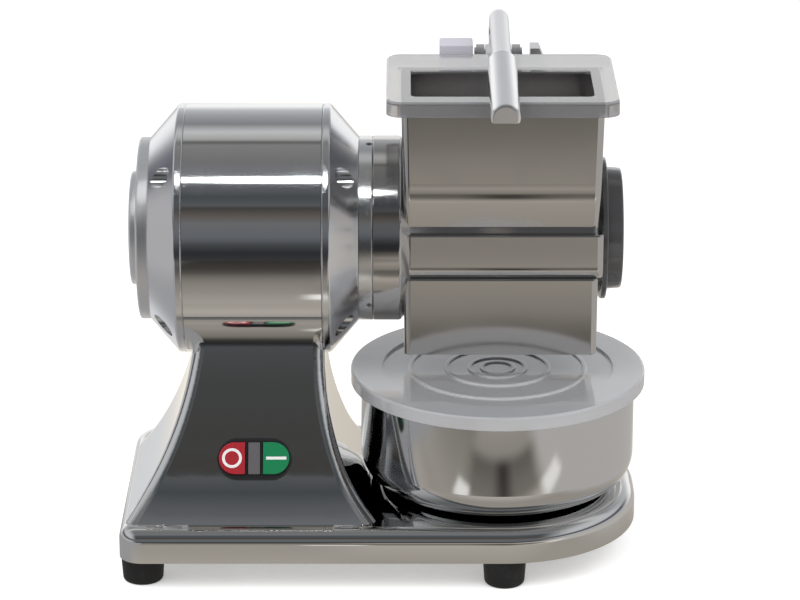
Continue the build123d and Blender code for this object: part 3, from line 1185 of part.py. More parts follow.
def presser():
    """Block over the drum: hollow underneath to match it, its front face turned about the hinge."""
    drum_r = DRUM_R + TOOTH_H + PRESSER_DRUM_GAP

    def swing_y(z):
        return HINGE_Y - math.sqrt(PRESSER_SWING_R ** 2 - (HINGE_Z - z) ** 2)

    def hollow_z(y):
        return AXIS_Z + math.sqrt(drum_r ** 2 - (y - AXIS_Y) ** 2)

    toe_y = swing_y(PRESSER_TOE_Z)
    toe = (toe_y, hollow_z(toe_y))
    heel = (PRESSER_BACK_Y, hollow_z(PRESSER_BACK_Y))
    middle_y = (toe_y + PRESSER_BACK_Y) / 2
    top_front = (swing_y(PRESSER_TOP_Z), PRESSER_TOP_Z)
    middle_z = (toe[1] + PRESSER_TOP_Z) / 2
    lines = [ThreePointArc(toe, (middle_y, hollow_z(middle_y)), heel),
             Polyline(heel, (PRESSER_BACK_Y, PRESSER_TOP_Z), top_front),
             ThreePointArc(top_front, (swing_y(middle_z), middle_z), toe)]
    body = along_head(make_face(lines), CHAMBER_LEFT_X + PRESSER_SIDE_GAP, CHAMBER_RIGHT_X - PRESSER_SIDE_GAP)
    return body - [post(x, STEM_Y, PRESSER_TOP_Z - SCREW_BITE, PRESSER_TOP_Z, SCREW_R + FIT)
                   for x in presser_screw_places()]


def presser_screws():
    face = PRESSER_TOP_Z + PAD_T
    screws = []
    for x in presser_screw_places():
        head = post(x, STEM_Y, face, face + SCREW_HEAD_H, SCREW_HEAD_R)
        screws.append(head + post(x, STEM_Y, PRESSER_TOP_Z - SCREW_BITE + SCREW_TIP_GAP, face, SCREW_R))
    return group(screws)


# Bowl and lid

def bowl():
    def shell(radius, low, corner):
        body = Pos(0, 0, low) * Cylinder(radius, BASE_TOP_Z + BOWL_H - low, align=CENTRED_LOW)
        return fillet(body.faces().sort_by(Axis.Z)[0].edges(), corner)
    outer = shell(BOWL_R, BASE_TOP_Z, BOWL_CORNER_R)
    outer += Pos(0, 0, BASE_TOP_Z + BOWL_H) * Cylinder(BOWL_R + BOWL_RIM_W, BOWL_RIM_H, align=CENTRED_HIGH)
    inner = shell(BOWL_R - BOWL_WALL, BASE_TOP_Z + BOWL_WALL, BOWL_CORNER_R - BOWL_WALL)
    return Pos(BOWL_X, 0, 0) * (outer - inner)


def bowl_lid():
    """Plate with a sunk middle, raised beads, a skirt outside the bowl and a lip inside it."""
    def plate_ring(r_out, r_in, top, thick):
        ring = Pos(0, 0, top) * Cylinder(r_out, thick, align=CENTRED_HIGH)
        return ring - Pos(0, 0, top) * Cylinder(r_in, thick, align=CENTRED_HIGH) if r_in else ring
    sunk_z = LID_TOP_Z - LID_RECESS_DEPTH
    lid = plate_ring(LID_R, LID_RECESS_R, LID_TOP_Z, LID_T)
    lid += plate_ring(LID_RECESS_R + LID_T, 0, sunk_z, LID_T)
    lid += plate_ring(LID_RECESS_R + LID_T, LID_RECESS_R, LID_TOP_Z, LID_RECESS_DEPTH + LID_T)
    lid += plate_ring(LID_R, LID_R - LID_T, LID_TOP_Z, LID_SKIRT_H)
    lid += plate_ring(LID_LIP_R, LID_LIP_R - LID_LIP_T, LID_TOP_Z - LID_T / 2, LID_LIP_H)
    for radius in LID_BEAD_RADII:
        bead_out = radius + LID_BEAD_W / 2
        lid += plate_ring(bead_out, bead_out - LID_BEAD_W, sunk_z + LID_BEAD_H, LID_BEAD_H + LID_T / 2)
    edge = lid.faces().filter_by(Axis.Z).sort_by(Axis.Z)[-1].outer_wire().edges()
    return Pos(BOWL_X, 0, 0) * fillet(edge, LID_T)


def build():
    parts = {"stand_casting": stand_casting(), "bottom_plate": bottom_plate(),
             "bottom_plate_screws": bottom_plate_screws(), "foot_screws": foot_screws(),
             "cable_gland": cable_gland(), "run_capacitor": run_capacitor(),
             "switch_bezel": switch_bezel(), "stop_button": push_button(-1), "start_button": push_button(1),
             "indicator_lens": indicator_lens(), "switch_nut": switch_nut(),
             "switch_contact_block": switch_contact_block(), "motor_barrel": motor_barrel(),
             "left_end_shield": end_shield(-1), "right_end_shield": end_shield(1),
             "saddle_screws": saddle_screws(), "tie_bolts": tie_bolts(), "end_cover": end_cover(),
             "end_cover_boss": end_cover_boss(),
             "end_cover_screws": end_cover_screws(), "stator_core": stator_core(),
             "stator_windings": stator_windings(), "rotor_core": rotor_core(), "motor_shaft": motor_shaft(),
             "cooling_fan": cooling_fan(), "coupling_ring": coupling_ring(), "grub_screws": grub_screws(),
             "coupling_ring_screws": coupling_ring_screws(), "head_casting": head_casting(),
             "shaft_seal": shaft_seal(), "grating_drum": grating_drum(), "drum_hub_left": drum_hub(-1),
             "drum_hub_right": drum_hub(1), "drive_pin": drive_pin(),
             "drum_bolt": drum_bolt(), "end_cap": end_cap(), "cap_seal": cap_seal(),
             "hopper_guard": hopper_guard(), "hinge_bracket": hinge_bracket(),
             "hinge_bracket_screws": hinge_bracket_screws(), "hinge_pin": hinge_pin(),
             "interlock_box": interlock_box(), "interlock_magnet": interlock_magnet(),
             "lever_arm": lever_arm(), "lever_grip": lever_grip(), "presser": presser(),
             "presser_screws": presser_screws(),
             "bowl": bowl(), "bowl_lid": bowl_lid()}
    for name, x, y in foot_places():
        parts[name] = foot(x, y)
    for name, side in (("left", -1), ("right", 1)):
        for piece, shape in zip(("outer", "inner", "balls"), bearing(side)):
            parts[f"{name}_bearing_{piece}"] = shape
    return parts


os.makedirs("parts", exist_ok=True)
for node, shape in build().items():
    export_step(Pos(0, FRAME_SHIFT_Y, 0) * shape, f"parts/{node}.step")
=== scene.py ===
import math

import bmesh
import bpy
from mathutils import Matrix, Vector


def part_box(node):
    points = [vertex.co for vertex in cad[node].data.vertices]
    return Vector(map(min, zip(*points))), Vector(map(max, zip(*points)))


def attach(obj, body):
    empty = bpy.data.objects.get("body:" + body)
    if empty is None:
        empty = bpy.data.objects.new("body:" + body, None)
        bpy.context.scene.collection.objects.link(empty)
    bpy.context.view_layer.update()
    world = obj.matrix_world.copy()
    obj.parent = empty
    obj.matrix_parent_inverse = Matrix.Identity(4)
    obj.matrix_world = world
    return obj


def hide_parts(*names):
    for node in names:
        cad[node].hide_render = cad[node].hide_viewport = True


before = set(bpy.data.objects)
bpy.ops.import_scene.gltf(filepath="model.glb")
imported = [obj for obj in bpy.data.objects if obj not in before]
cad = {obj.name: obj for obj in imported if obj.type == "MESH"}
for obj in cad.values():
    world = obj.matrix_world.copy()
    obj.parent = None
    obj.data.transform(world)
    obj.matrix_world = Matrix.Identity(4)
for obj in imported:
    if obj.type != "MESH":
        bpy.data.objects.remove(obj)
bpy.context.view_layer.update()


# Places that the finishes and the small pieces share, in metres

def middle_of(node):
    """Middle of a CAD node's box."""
    low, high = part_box(node)
    return (Vector(low) + Vector(high)) / 2


MOTOR_AXIS = middle_of("motor_barrel")
BOWL_MIDDLE = middle_of("bowl")
DRUM_MIDDLE = middle_of("grating_drum")
DRUM_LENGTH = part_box("grating_drum")[1][0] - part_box("grating_drum")[0][0]
DRUM_SHEET_R = 0.053
GUARD_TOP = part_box("hopper_guard")[1][2]
FRONT_SLOPE = 0.545
FRONT_LEAN = math.atan(FRONT_SLOPE)
SWITCH_ACROSS = Vector((1.0, 0.0, 0.0))
SWITCH_OUT = Vector((0.0, -math.cos(FRONT_LEAN), math.sin(FRONT_LEAN)))
SWITCH_UP = Vector((0.0, math.sin(FRONT_LEAN), math.cos(FRONT_LEAN)))
WHITE = (1.0, 1.0, 1.0, 1.0)
BLACK = (0.0, 0.0, 0.0, 1.0)


# Node writing

class Socket:
    """A node's output that takes part in arithmetic; each operation adds its Math node."""

    def __init__(self, sheet, out):
        self.sheet = sheet
        self.out = out

    def __add__(self, other):
        return self.sheet.maths("ADD", self, other)

    def __radd__(self, other):
        return self.sheet.maths("ADD", other, self)

    def __sub__(self, other):
        return self.sheet.maths("SUBTRACT", self, other)

    def __rsub__(self, other):
        return self.sheet.maths("SUBTRACT", other, self)

    def __mul__(self, other):
        return self.sheet.maths("MULTIPLY", self, other)

    def __rmul__(self, other):
        return self.sheet.maths("MULTIPLY", other, self)

    def __truediv__(self, other):
        return self.sheet.maths("DIVIDE", self, other)

    def __rtruediv__(self, other):
        return self.sheet.maths("DIVIDE", other, self)


class Sheet:
    """A node tree that is written one call at a time."""

    def __init__(self, tree):
        self.tree = tree
        tree.nodes.clear()

    def node(self, kind, settings=None, sockets=None, out=0):
        """Add a node: its settings first, then the values or links of its sockets."""
        made = self.tree.nodes.new(kind)
        for key, value in (settings or {}).items():
            if key == "stops":
                self.set_stops(made.color_ramp, value)
            else:
                setattr(made, key, value)
        for key, value in (sockets or {}).items():
            if isinstance(value, Socket):
                self.tree.links.new(value.out, made.inputs[key])
            else:
                made.inputs[key].default_value = value
        return Socket(self, made.outputs[out]) if len(made.outputs) else made

    @staticmethod
    def set_stops(ramp, stops):
        while len(ramp.elements) < len(stops):
            ramp.elements.new(1.0)
        for element, (place, colour) in zip(ramp.elements, stops):
            element.position = place
            element.color = (*colour, 1.0)

    def maths(self, operation, *values):
        return self.node("ShaderNodeMath", {"operation": operation}, dict(enumerate(values)))

    def coords(self, scale=(1, 1, 1), turn=(0, 0, 0), shift=(0, 0, 0)):
        """Object coordinates, shifted, then scaled and turned."""
        place = self.node("ShaderNodeTexCoord", out="Object")
        moved = self.node("ShaderNodeVectorMath", {"operation": "ADD"}, {0: place, 1: shift})
        return self.node("ShaderNodeMapping", None, {"Vector": moved, "Rotation": turn, "Scale": scale})

    def axis(self, vector, letter):
        """One coordinate of a vector."""
        return self.node("ShaderNodeSeparateXYZ", None, {0: vector}, out=letter)

    def row(self, x=0.0, y=0.0, z=0.0):
        """A vector of three values."""
        return self.node("ShaderNodeCombineXYZ", None, {0: x, 1: y, 2: z})

    def noise(self, vector, scale=1.0, detail=2.0, rough=0.5):
        return self.node("ShaderNodeTexNoise", None,
                         {"Vector": vector, "Scale": scale, "Detail": detail, "Roughness": rough})

    def cells(self, vector, scale):
        return self.node("ShaderNodeTexVoronoi", None, {"Vector": vector, "Scale": scale})

    def between(self, value, low, high):
        """Smooth step of a value: 0 at low and 1 at high, where low may be the greater."""
        return self.node("ShaderNodeMapRange", {"interpolation_type": "SMOOTHSTEP"},
                         {0: value, 1: low, 2: high})

    def blend(self, share, first, second):
        """A colour between two others."""
        return self.node("ShaderNodeMix", {"data_type": "RGBA"}, {0: share, 6: first, 7: second}, out=2)

    def from_axis(self, along, middle):
        """Distance from an axis through middle that runs along X or along Z."""
        keep = (0, 1, 1) if along == "X" else (1, 1, 0)
        flat = self.coords(scale=keep, shift=tuple(-c for c in middle))
        return self.node("ShaderNodeVectorMath", {"operation": "LENGTH"}, {0: flat}, out="Value")

    def bump(self, height):
        """Relief whose height is in metres."""
        return self.node("ShaderNodeBump", None, {"Strength": 1.0, "Distance": 1.0, "Height": height})

    def ray(self, kind):
        """1 for rays of one kind, such as Camera or Glossy."""
        return self.node("ShaderNodeLightPath", out=f"Is {kind} Ray")

    def in_view(self):
        """1 where the camera looks, also through clear plastic."""
        return self.maths("MAXIMUM", self.ray("Camera"), self.ray("Transmission"))


def finish(name, colour, varied, **constants):
    """A material on one Principled shader: varied are the linked sockets, constants the plain ones."""
    material = bpy.data.materials.new(name)
    material.use_nodes = True
    sheet = Sheet(material.node_tree)
    sockets = {"Base Color": (*colour, 1.0)}
    sockets.update({key.replace("_", " "): value for key, value in constants.items()})
    sockets.update(varied(sheet))
    shader = sheet.node("ShaderNodeBsdfPrincipled", None, sockets)
    sheet.node("ShaderNodeOutputMaterial", None, {"Surface": shader})
    return material


def tinted(sheet, colour, share, amount):
    """A colour that a share between 0 and 1 darkens and lightens by amount."""
    low = (*(c * (1 - amount) for c in colour), 1.0)
    high = (*(min(1.0, c * (1 + amount)) for c in colour), 1.0)
    return sheet.blend(share, low, high)


# Metals: sizes and depths in metres, scales in cells per metre

WIPE_STRETCH = (1.0, 1.0, 0.6)
WIPE_SHIFT = (0.3, 0.1, 0.2)
WIPE_SCALE = 14.0
WIPE_EDGES = (0.45, 0.75)
LINE_HAZE = 0.4


def polished(name, colour, rough, lines, line_depth, wave_size=0.045, wave_depth=0.0,
             wave_stretch=(1, 1, 1), haze=0.05, spread=0.03, metal=1.0):
    """Polished metal: fine lines from the wheel, hand-polished waves, and a faint haze that wipes leave."""
    def varied(sheet):
        fine = lines(sheet)
        soft = sheet.noise(sheet.coords(scale=wave_stretch), scale=1 / wave_size, detail=1.0)
        cloth = sheet.coords(scale=WIPE_STRETCH, shift=WIPE_SHIFT)
        wiped = sheet.noise(cloth, scale=WIPE_SCALE, detail=4.0, rough=0.6)
        dulled = sheet.between(wiped, *WIPE_EDGES)
        return {"Base Color": tinted(sheet, colour, fine * 0.5 + wiped * 0.5, spread),
                "Roughness": rough + fine * (LINE_HAZE * haze) + dulled * haze,
                "Normal": sheet.bump(fine * line_depth + soft * wave_depth)}
    return finish(name, colour, varied, Metallic=metal)


def streaks(sheet, broad, narrow):
    """Broad streaks with narrow ones over them, each drawn out along the axis where its scale is small."""
    wide = sheet.noise(sheet.coords(scale=broad), detail=3.0, rough=0.6)
    thin = sheet.noise(sheet.coords(scale=narrow), detail=2.0, rough=0.5)
    return wide * 0.6 + thin * 0.4


def lines_along_x(sheet):
    """Brushing that runs from left to right."""
    return streaks(sheet, broad=(9, 520, 520), narrow=(30, 1700, 1700))


def lines_round_x(sheet):
    """Turning marks round the motor axis."""
    return streaks(sheet, broad=(620, 14, 14), narrow=(1900, 30, 30))


TURNED_SCALE = 1500
SPUN_SCALE = 900
GROUND_SCALE = 1400.0


def rings_about_x(sheet):
    """Turning rings on a face that looks along the motor axis."""
    ring = sheet.from_axis("X", MOTOR_AXIS)
    return sheet.noise(sheet.row(ring * TURNED_SCALE), detail=3.0, rough=0.6)


def rings_about_bowl(sheet):
    """Spinning marks round the bowl."""
    ring = sheet.from_axis("Z", BOWL_MIDDLE)
    height = sheet.axis(sheet.coords(), "Z")
    return sheet.noise(sheet.row(ring * SPUN_SCALE, height * SPUN_SCALE), detail=3.0, rough=0.6)


def buffed(sheet):
    """Short crossing marks of a buffing wheel."""
    level = sheet.noise(sheet.coords(scale=(60, 60, 700), turn=(0.0, 0.25, 0.3)), detail=3.0, rough=0.55)
    upright = sheet.noise(sheet.coords(scale=(500, 420, 45), turn=(0.2, 0.4, 0.0)), detail=3.0, rough=0.55)
    return level * 0.6 + upright * 0.4


def ground(sheet):
    """Even grinding with no direction."""
    return sheet.noise(sheet.coords(), scale=GROUND_SCALE, detail=3.0, rough=0.6)


CASTING = (0.80, 0.80, 0.79)
STEEL = (0.76, 0.765, 0.77)

stand_metal = polished("polished_stand", CASTING, rough=0.015, lines=buffed, line_depth=1.0e-7,
                       wave_size=0.06, wave_depth=0.2e-4, wave_stretch=(0.35, 0.7, 1.3), haze=0.012)
barrel_metal = polished("polished_barrel", (0.86, 0.86, 0.865), rough=0.05, lines=lines_round_x,
                        line_depth=1.0e-6, wave_size=0.09, wave_depth=1.2e-4, wave_stretch=(0.5, 1, 1),
                        haze=0.03)
shield_metal = polished("turned_shields", (0.84, 0.845, 0.86), rough=0.14, lines=lines_round_x,
                        line_depth=1.2e-6, wave_size=0.05, wave_depth=1.0e-4)
cover_metal = polished("turned_covers", (0.93, 0.94, 0.95), rough=0.45, lines=rings_about_x,
                       line_depth=2.0e-6)
ring_metal = polished("satin_ring", (0.82, 0.825, 0.83), rough=0.2, lines=lines_round_x, line_depth=2.0e-6)
head_metal = polished("brushed_head", (0.61, 0.60, 0.59), rough=0.10, lines=lines_along_x,
                      line_depth=3.0e-6, wave_size=0.05, wave_depth=1.0e-4, wave_stretch=(0.4, 1, 1))
lever_metal = polished("satin_lever", (0.92, 0.92, 0.935), rough=0.3, lines=ground, line_depth=2.0e-6,
                       wave_size=0.02, wave_depth=0.8e-4, haze=0.1, metal=0.55)
grip_metal = polished("bright_grip", (0.95, 0.95, 0.96), rough=0.2, lines=ground, line_depth=1.5e-6,
                      wave_size=0.02, wave_depth=0.8e-4, metal=0.95)
bracket_metal = polished("cast_bracket", (0.88, 0.885, 0.90), rough=0.32, lines=ground, line_depth=6.0e-6,
                         wave_size=0.012, wave_depth=1.2e-4, haze=0.1)
bowl_metal = polished("spun_bowl", (0.71, 0.715, 0.72), rough=0.06, lines=rings_about_bowl,
                      line_depth=1.2e-6, wave_size=0.05, wave_depth=0.6e-4, wave_stretch=(1, 1, 0.3),
                      haze=0.03)
drum_metal = polished("satin_drum", STEEL, rough=0.28, lines=lines_round_x, line_depth=4.0e-6, haze=0.1)
bright_metal = polished("ground_steel", STEEL, rough=0.16, lines=lines_round_x, line_depth=2.0e-6)
screw_metal = polished("zinc_screws", (0.66, 0.67, 0.68), rough=0.28, lines=ground, line_depth=5.0e-6,
                       haze=0.12, spread=0.12)
plate_metal = polished("sheet_steel", (0.58, 0.585, 0.59), rough=0.34, lines=lines_along_x,
                       line_depth=5.0e-6, haze=0.12)


# Plastics and rubber

MOULD_GRAIN = 0.0008
MOULD_GRAIN_DEPTH = 6.0e-6
MOULD_TONE_SCALE = 35.0
MOULD_TONE = 0.05


def moulded(name, colour, rough, **constants):
    """Moulded plastic: a fine spark-eroded grain and a slow change of tone."""
    def varied(sheet):
        place = sheet.coords()
        fine = sheet.noise(place, scale=1 / MOULD_GRAIN, detail=3.0, rough=0.6)
        slow = sheet.noise(place, scale=MOULD_TONE_SCALE, detail=3.0)
        return {"Base Color": tinted(sheet, colour, fine * 0.4 + slow * 0.6, MOULD_TONE),
                "Roughness": rough * 0.85 + fine * (0.15 * rough) + slow * (0.15 * rough),
                "Normal": sheet.bump(fine * MOULD_GRAIN_DEPTH)}
    return finish(name, colour, varied, **constants)


PORE_SCALE = 900.0
PORE_DEPTH = 2.5e-5
BLOOM_SCALE = 60.0
BLOOM_EDGES = (0.45, 0.8)
BLOOM_SHARE = 0.6


def rubber(name, colour):
    """Rubber: a dull skin with pores and a paler bloom."""
    def varied(sheet):
        place = sheet.coords()
        pores = sheet.cells(place, scale=PORE_SCALE)
        patches = sheet.noise(place, scale=BLOOM_SCALE, detail=4.0, rough=0.65)
        bloom = sheet.between(patches, *BLOOM_EDGES)
        pale = (*(c * 2.6 + 0.01 for c in colour), 1.0)
        return {"Base Color": sheet.blend(bloom * BLOOM_SHARE, (*colour, 1.0), pale),
                "Roughness": 0.5 + bloom * 0.25,
                "Normal": sheet.bump(pores * PORE_DEPTH)}
    return finish(name, colour, varied, Specular_IOR_Level=0.4)


FROST_SCALE = 1600.0
FROST_DEPTH = 4.0e-6
FROST_HAZE = 0.06
CLOUD_SCALE = 22.0
CLOUD_TONE = 0.05
PALE_PLASTIC = (0.97, 0.97, 0.98, 1.0)


def frosted(name, colour, rough, clear_rough, clear, pale, **constants):
    """Translucent plastic whose matt skin turns glossy where clear is 1 and whiter where pale is 1."""
    def varied(sheet):
        place = sheet.coords()
        fine = sheet.noise(place, scale=FROST_SCALE, detail=2.0, rough=0.6)
        clouds = sheet.noise(place, scale=CLOUD_SCALE, detail=3.0, rough=0.6)
        glossy = clear(sheet)
        clouded = tinted(sheet, colour, clouds, CLOUD_TONE)
        return {"Base Color": sheet.blend(pale(sheet), clouded, PALE_PLASTIC),
                "Roughness": rough + fine * FROST_HAZE - glossy * (rough - clear_rough),
                "Normal": sheet.bump(fine * FROST_DEPTH)}
    return finish(name, colour, varied, **constants)


# The lid's rings, as distances from its middle
LID_SUNK_R = 0.0895
LID_SUNK_EDGE = 0.0015
LID_BEADS = (0.0125, 0.022, 0.040, 0.068)
BEAD_WIDTH = 0.0021
BEAD_FADE_IN = 0.0005
BEAD_FADE_OUT = 0.0006


def lid_gloss(sheet):
    """The sunk middle of the lid is glossier than its margin."""
    return sheet.between(sheet.from_axis("Z", BOWL_MIDDLE), LID_SUNK_R + LID_SUNK_EDGE, LID_SUNK_R)


def lid_bead_highlights(sheet):
    """The outer slope of each bead, painted whiter: a painted highlight on the lid's rings."""
    ring = sheet.from_axis("Z", BOWL_MIDDLE)
    slopes = []
    for start in LID_BEADS:
        end = start + BEAD_WIDTH
        risen = sheet.between(ring, start, start + BEAD_FADE_IN)
        slopes.append(risen * sheet.between(ring, end, end - BEAD_FADE_OUT))
    return sum(slopes[1:], slopes[0])


# The tray's white top, as depths under it where the white begins and where it is full
GUARD_WHITE_EDGE = (0.0016, 0.0006)
GUARD_PATCH_SCALE = 30.0
GUARD_PATCH_GLOSS = 0.3


def guard_gloss(sheet):
    """The tray is glossier in slow patches."""
    return sheet.noise(sheet.coords(), scale=GUARD_PATCH_SCALE, detail=2.0) * GUARD_PATCH_GLOSS


def guard_top(sheet):
    """The flat top of the tray is whiter than its clear skirt."""
    height = sheet.axis(sheet.coords(), "Z")
    return sheet.between(height, *(GUARD_TOP - depth for depth in GUARD_WHITE_EDGE))


cap_plastic = moulded("black_cap", (0.07, 0.07, 0.072), rough=0.2, Coat_Weight=0.6, Coat_Roughness=0.08)
inner_plastic = moulded("black_inner", (0.03, 0.03, 0.032), rough=0.45)
interlock_plastic = moulded("interlock_grey", (0.70, 0.69, 0.77), rough=0.42)
bezel_plastic = moulded("bezel_black", (0.018, 0.018, 0.02), rough=0.3)
stop_plastic = moulded("stop_red", (0.40, 0.015, 0.027), rough=0.3, Coat_Weight=0.25, Coat_Roughness=0.12)
start_plastic = moulded("start_green", (0.006, 0.215, 0.08), rough=0.3, Coat_Weight=0.25,
                        Coat_Roughness=0.12)
lens_plastic = moulded("lens_grey", (0.125, 0.12, 0.125), rough=0.2, Coat_Weight=0.4, Coat_Roughness=0.08)
mark_paint = moulded("mark_white", (0.86, 0.84, 0.83), rough=0.4)
capacitor_plastic = moulded("capacitor_grey", (0.68, 0.68, 0.66), rough=0.4)
foot_rubber = rubber("foot_rubber", (0.016, 0.016, 0.017))
seal_rubber = rubber("seal_rubber", (0.02, 0.02, 0.021))
# The beads' outer slopes take the pale colour: a painted highlight on the lid's rings.
lid_plastic = frosted("frosted_lid", (0.71, 0.715, 0.735), rough=0.14, clear_rough=0.04, clear=lid_gloss,
                      pale=lid_bead_highlights, Transmission_Weight=0.3, IOR=1.49, Specular_IOR_Level=1.0,
                      Coat_Weight=1.0, Coat_IOR=1.8, Coat_Roughness=0.05)
guard_plastic = frosted("clear_guard", (0.62, 0.62, 0.635), rough=0.08, clear_rough=0.04,
                        clear=guard_gloss, pale=guard_top, Transmission_Weight=0.75, IOR=1.47,
                        Specular_IOR_Level=0.8, Coat_Weight=1.0, Coat_Roughness=0.04)


# Insides of the motor

CORE_SHEETS_PER_METRE = 1600.0
CORE_SEAM_WIDTH = 0.35
CORE_SEAM_SHADE = 0.35
CORE_SEAM_DEPTH = 3.0e-5
CORE_STAIN_SCALE = 70.0
WIRE_RADIANS_PER_METRE = 7200.0
WIRE_DEPTH = 8.0e-5
WIRE_STAIN_SCALE = 90.0


def laminated(name, colour):
    """Stacked sheets, seen as fine dark seams along the motor axis."""
    def varied(sheet):
        along = sheet.axis(sheet.coords(), "X")
        seam = sheet.between(sheet.maths("FRACT", along * CORE_SHEETS_PER_METRE), 0.0, CORE_SEAM_WIDTH)
        stain = sheet.noise(sheet.coords(), scale=CORE_STAIN_SCALE, detail=4.0)
        dark = (*(c * CORE_SEAM_SHADE for c in colour), 1.0)
        return {"Base Color": sheet.blend(seam, dark, tinted(sheet, colour, stain, 0.2)),
                "Roughness": 0.45 + stain * 0.2,
                "Normal": sheet.bump(seam * CORE_SEAM_DEPTH)}
    return finish(name, colour, varied, Metallic=0.9)


def wound(name, colour):
    """Enamelled wire laid round the motor axis."""
    def varied(sheet):
        ring = sheet.from_axis("X", MOTOR_AXIS)
        turns = sheet.maths("SINE", ring * WIRE_RADIANS_PER_METRE)
        stain = sheet.noise(sheet.coords(), scale=WIRE_STAIN_SCALE, detail=3.0)
        return {"Base Color": tinted(sheet, colour, stain, 0.25),
                "Roughness": 0.25 + stain * 0.15,
                "Normal": sheet.bump(turns * WIRE_DEPTH)}
    return finish(name, colour, varied, Metallic=0.8, Coat_Weight=0.5, Coat_Roughness=0.15)


core_steel = laminated("core_sheets", (0.3, 0.3, 0.31))
winding_copper = wound("winding_wire", (0.55, 0.22, 0.08))


# Which CAD node has which finish

FINISHES = {
    stand_metal: ["stand_casting"],
    barrel_metal: ["motor_barrel"],
    shield_metal: ["left_end_shield", "right_end_shield"],
    cover_metal: ["end_cover", "end_cover_boss"],
    ring_metal: ["coupling_ring"],
    head_metal: ["head_casting"],
    lever_metal: ["lever_arm", "presser"],
    grip_metal: ["lever_grip"],
    bracket_metal: ["hinge_bracket"],
    bowl_metal: ["bowl"],
    drum_metal: ["grating_drum", "drum_hub_left", "drum_hub_right"],
    bright_metal: ["motor_shaft", "drive_pin", "drum_bolt", "hinge_pin", "interlock_magnet",
                   "left_bearing_outer", "left_bearing_inner", "left_bearing_balls",
                   "right_bearing_outer", "right_bearing_inner", "right_bearing_balls"],
    screw_metal: ["bottom_plate_screws", "foot_screws", "saddle_screws", "tie_bolts", "end_cover_screws",
                  "grub_screws", "coupling_ring_screws", "hinge_bracket_screws", "presser_screws"],
    plate_metal: ["bottom_plate"],
    core_steel: ["stator_core", "rotor_core"],
    winding_copper: ["stator_windings"],
    lid_plastic: ["bowl_lid"],
    guard_plastic: ["hopper_guard"],
    cap_plastic: ["end_cap", "cable_gland"],
    inner_plastic: ["switch_contact_block", "switch_nut", "cooling_fan"],
    interlock_plastic: ["interlock_box"],
    bezel_plastic: ["switch_bezel"],
    stop_plastic: ["stop_button"],
    start_plastic: ["start_button"],
    lens_plastic: ["indicator_lens"],
    capacitor_plastic: ["run_capacitor"],
    foot_rubber: ["foot_front_left", "foot_front_right", "foot_rear_left", "foot_rear_right"],
    seal_rubber: ["shaft_seal", "cap_seal"],
}
for material, names in FINISHES.items():
    for name in names:
        cad[name].data.materials.clear()
        cad[name].data.materials.append(material)


# Making pieces

def piece(name, mesh, material, body):
    """Put a finished mesh in the scene, on its body."""
    made = bpy.data.objects.new(name, mesh)
    bpy.context.collection.objects.link(made)
    mesh.materials.clear()
    mesh.materials.append(material)
    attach(made, body)
    return made


def round_ways(count):
    """Cosine and sine of each of the angles that share out a full turn."""
    angles = [2 * math.pi * k / count for k in range(count)]
    return [(math.cos(angle), math.sin(angle)) for angle in angles]


def skinned(name, rings, looped=False):
    """A closed mesh over rings of points: the last ring meets the first, or a face closes each end."""
    shape = bmesh.new()
    rows = [[shape.verts.new(point) for point in ring] for ring in rings]
    count = len(rows[0])
    following = rows[1:] + rows[:1] if looped else rows[1:]
    for low, high in zip(rows, following):
        for k in range(count):
            shape.faces.new((low[k], low[(k + 1) % count], high[(k + 1) % count], high[k]))
    if not looped:
        shape.faces.new(rows[0][::-1])
        shape.faces.new(rows[-1])
    bmesh.ops.recalc_face_normals(shape, faces=shape.faces)
    mesh = bpy.data.meshes.new(name)
    shape.to_mesh(mesh)
    shape.free()
    return mesh


# Signs on the two buttons

MARK_RISE = 0.00018
MARK_SINK = 0.0003
MARK_BEVEL = 0.00012
STOP_RING_OUT = 0.0076
STOP_RING_IN = 0.0054
STOP_RING_STEPS = 72
START_BAR_W = 0.0155
START_BAR_H = 0.0023


def cap_face(node):
    """Middle of a button's top face, worked out from its mesh."""
    points = [vertex.co for vertex in cad[node].data.vertices]
    middles = []
    for way in (SWITCH_ACROSS, SWITCH_UP):
        along = [point.dot(way) for point in points]
        middles.append((min(along) + max(along)) / 2)
    top = max(point.dot(SWITCH_OUT) for point in points)
    return SWITCH_ACROSS * middles[0] + SWITCH_UP * middles[1] + SWITCH_OUT * top


def mark_place(centre, across, up, out):
    """A point by its distances from the middle of a button's top face."""
    return centre + SWITCH_ACROSS * across + SWITCH_UP * up + SWITCH_OUT * out


def stop_mark():
    """Raised ring on the stop button."""
    centre = cap_face("stop_button")
    section = ((STOP_RING_OUT, -MARK_SINK), (STOP_RING_OUT, MARK_RISE - MARK_BEVEL),
               (STOP_RING_OUT - MARK_BEVEL, MARK_RISE), (STOP_RING_IN + MARK_BEVEL, MARK_RISE),
               (STOP_RING_IN, MARK_RISE - MARK_BEVEL), (STOP_RING_IN, -MARK_SINK))
    rings = [[mark_place(centre, radius * cosine, radius * sine, height) for radius, height in section]
             for cosine, sine in round_ways(STOP_RING_STEPS)]
    return skinned("stop_mark", rings, looped=True)


def start_mark():
    """Raised bar on the start button."""
    centre = cap_face("start_button")
    rings = []
    for inset, height in ((0, -MARK_SINK), (0, MARK_RISE - MARK_BEVEL), (MARK_BEVEL, MARK_RISE)):
        half_w = START_BAR_W / 2 - inset
        half_h = START_BAR_H / 2 - inset
        corners = ((-half_w, -half_h), (half_w, -half_h), (half_w, half_h), (-half_w, half_h))
        rings.append([mark_place(centre, across, up, height) for across, up in corners])
    return skinned("start_mark", rings)


piece("stop_mark", stop_mark(), mark_paint, "stop_button")
piece("start_mark", start_mark(), mark_paint, "start_button")


# Geometry Nodes for what repeats

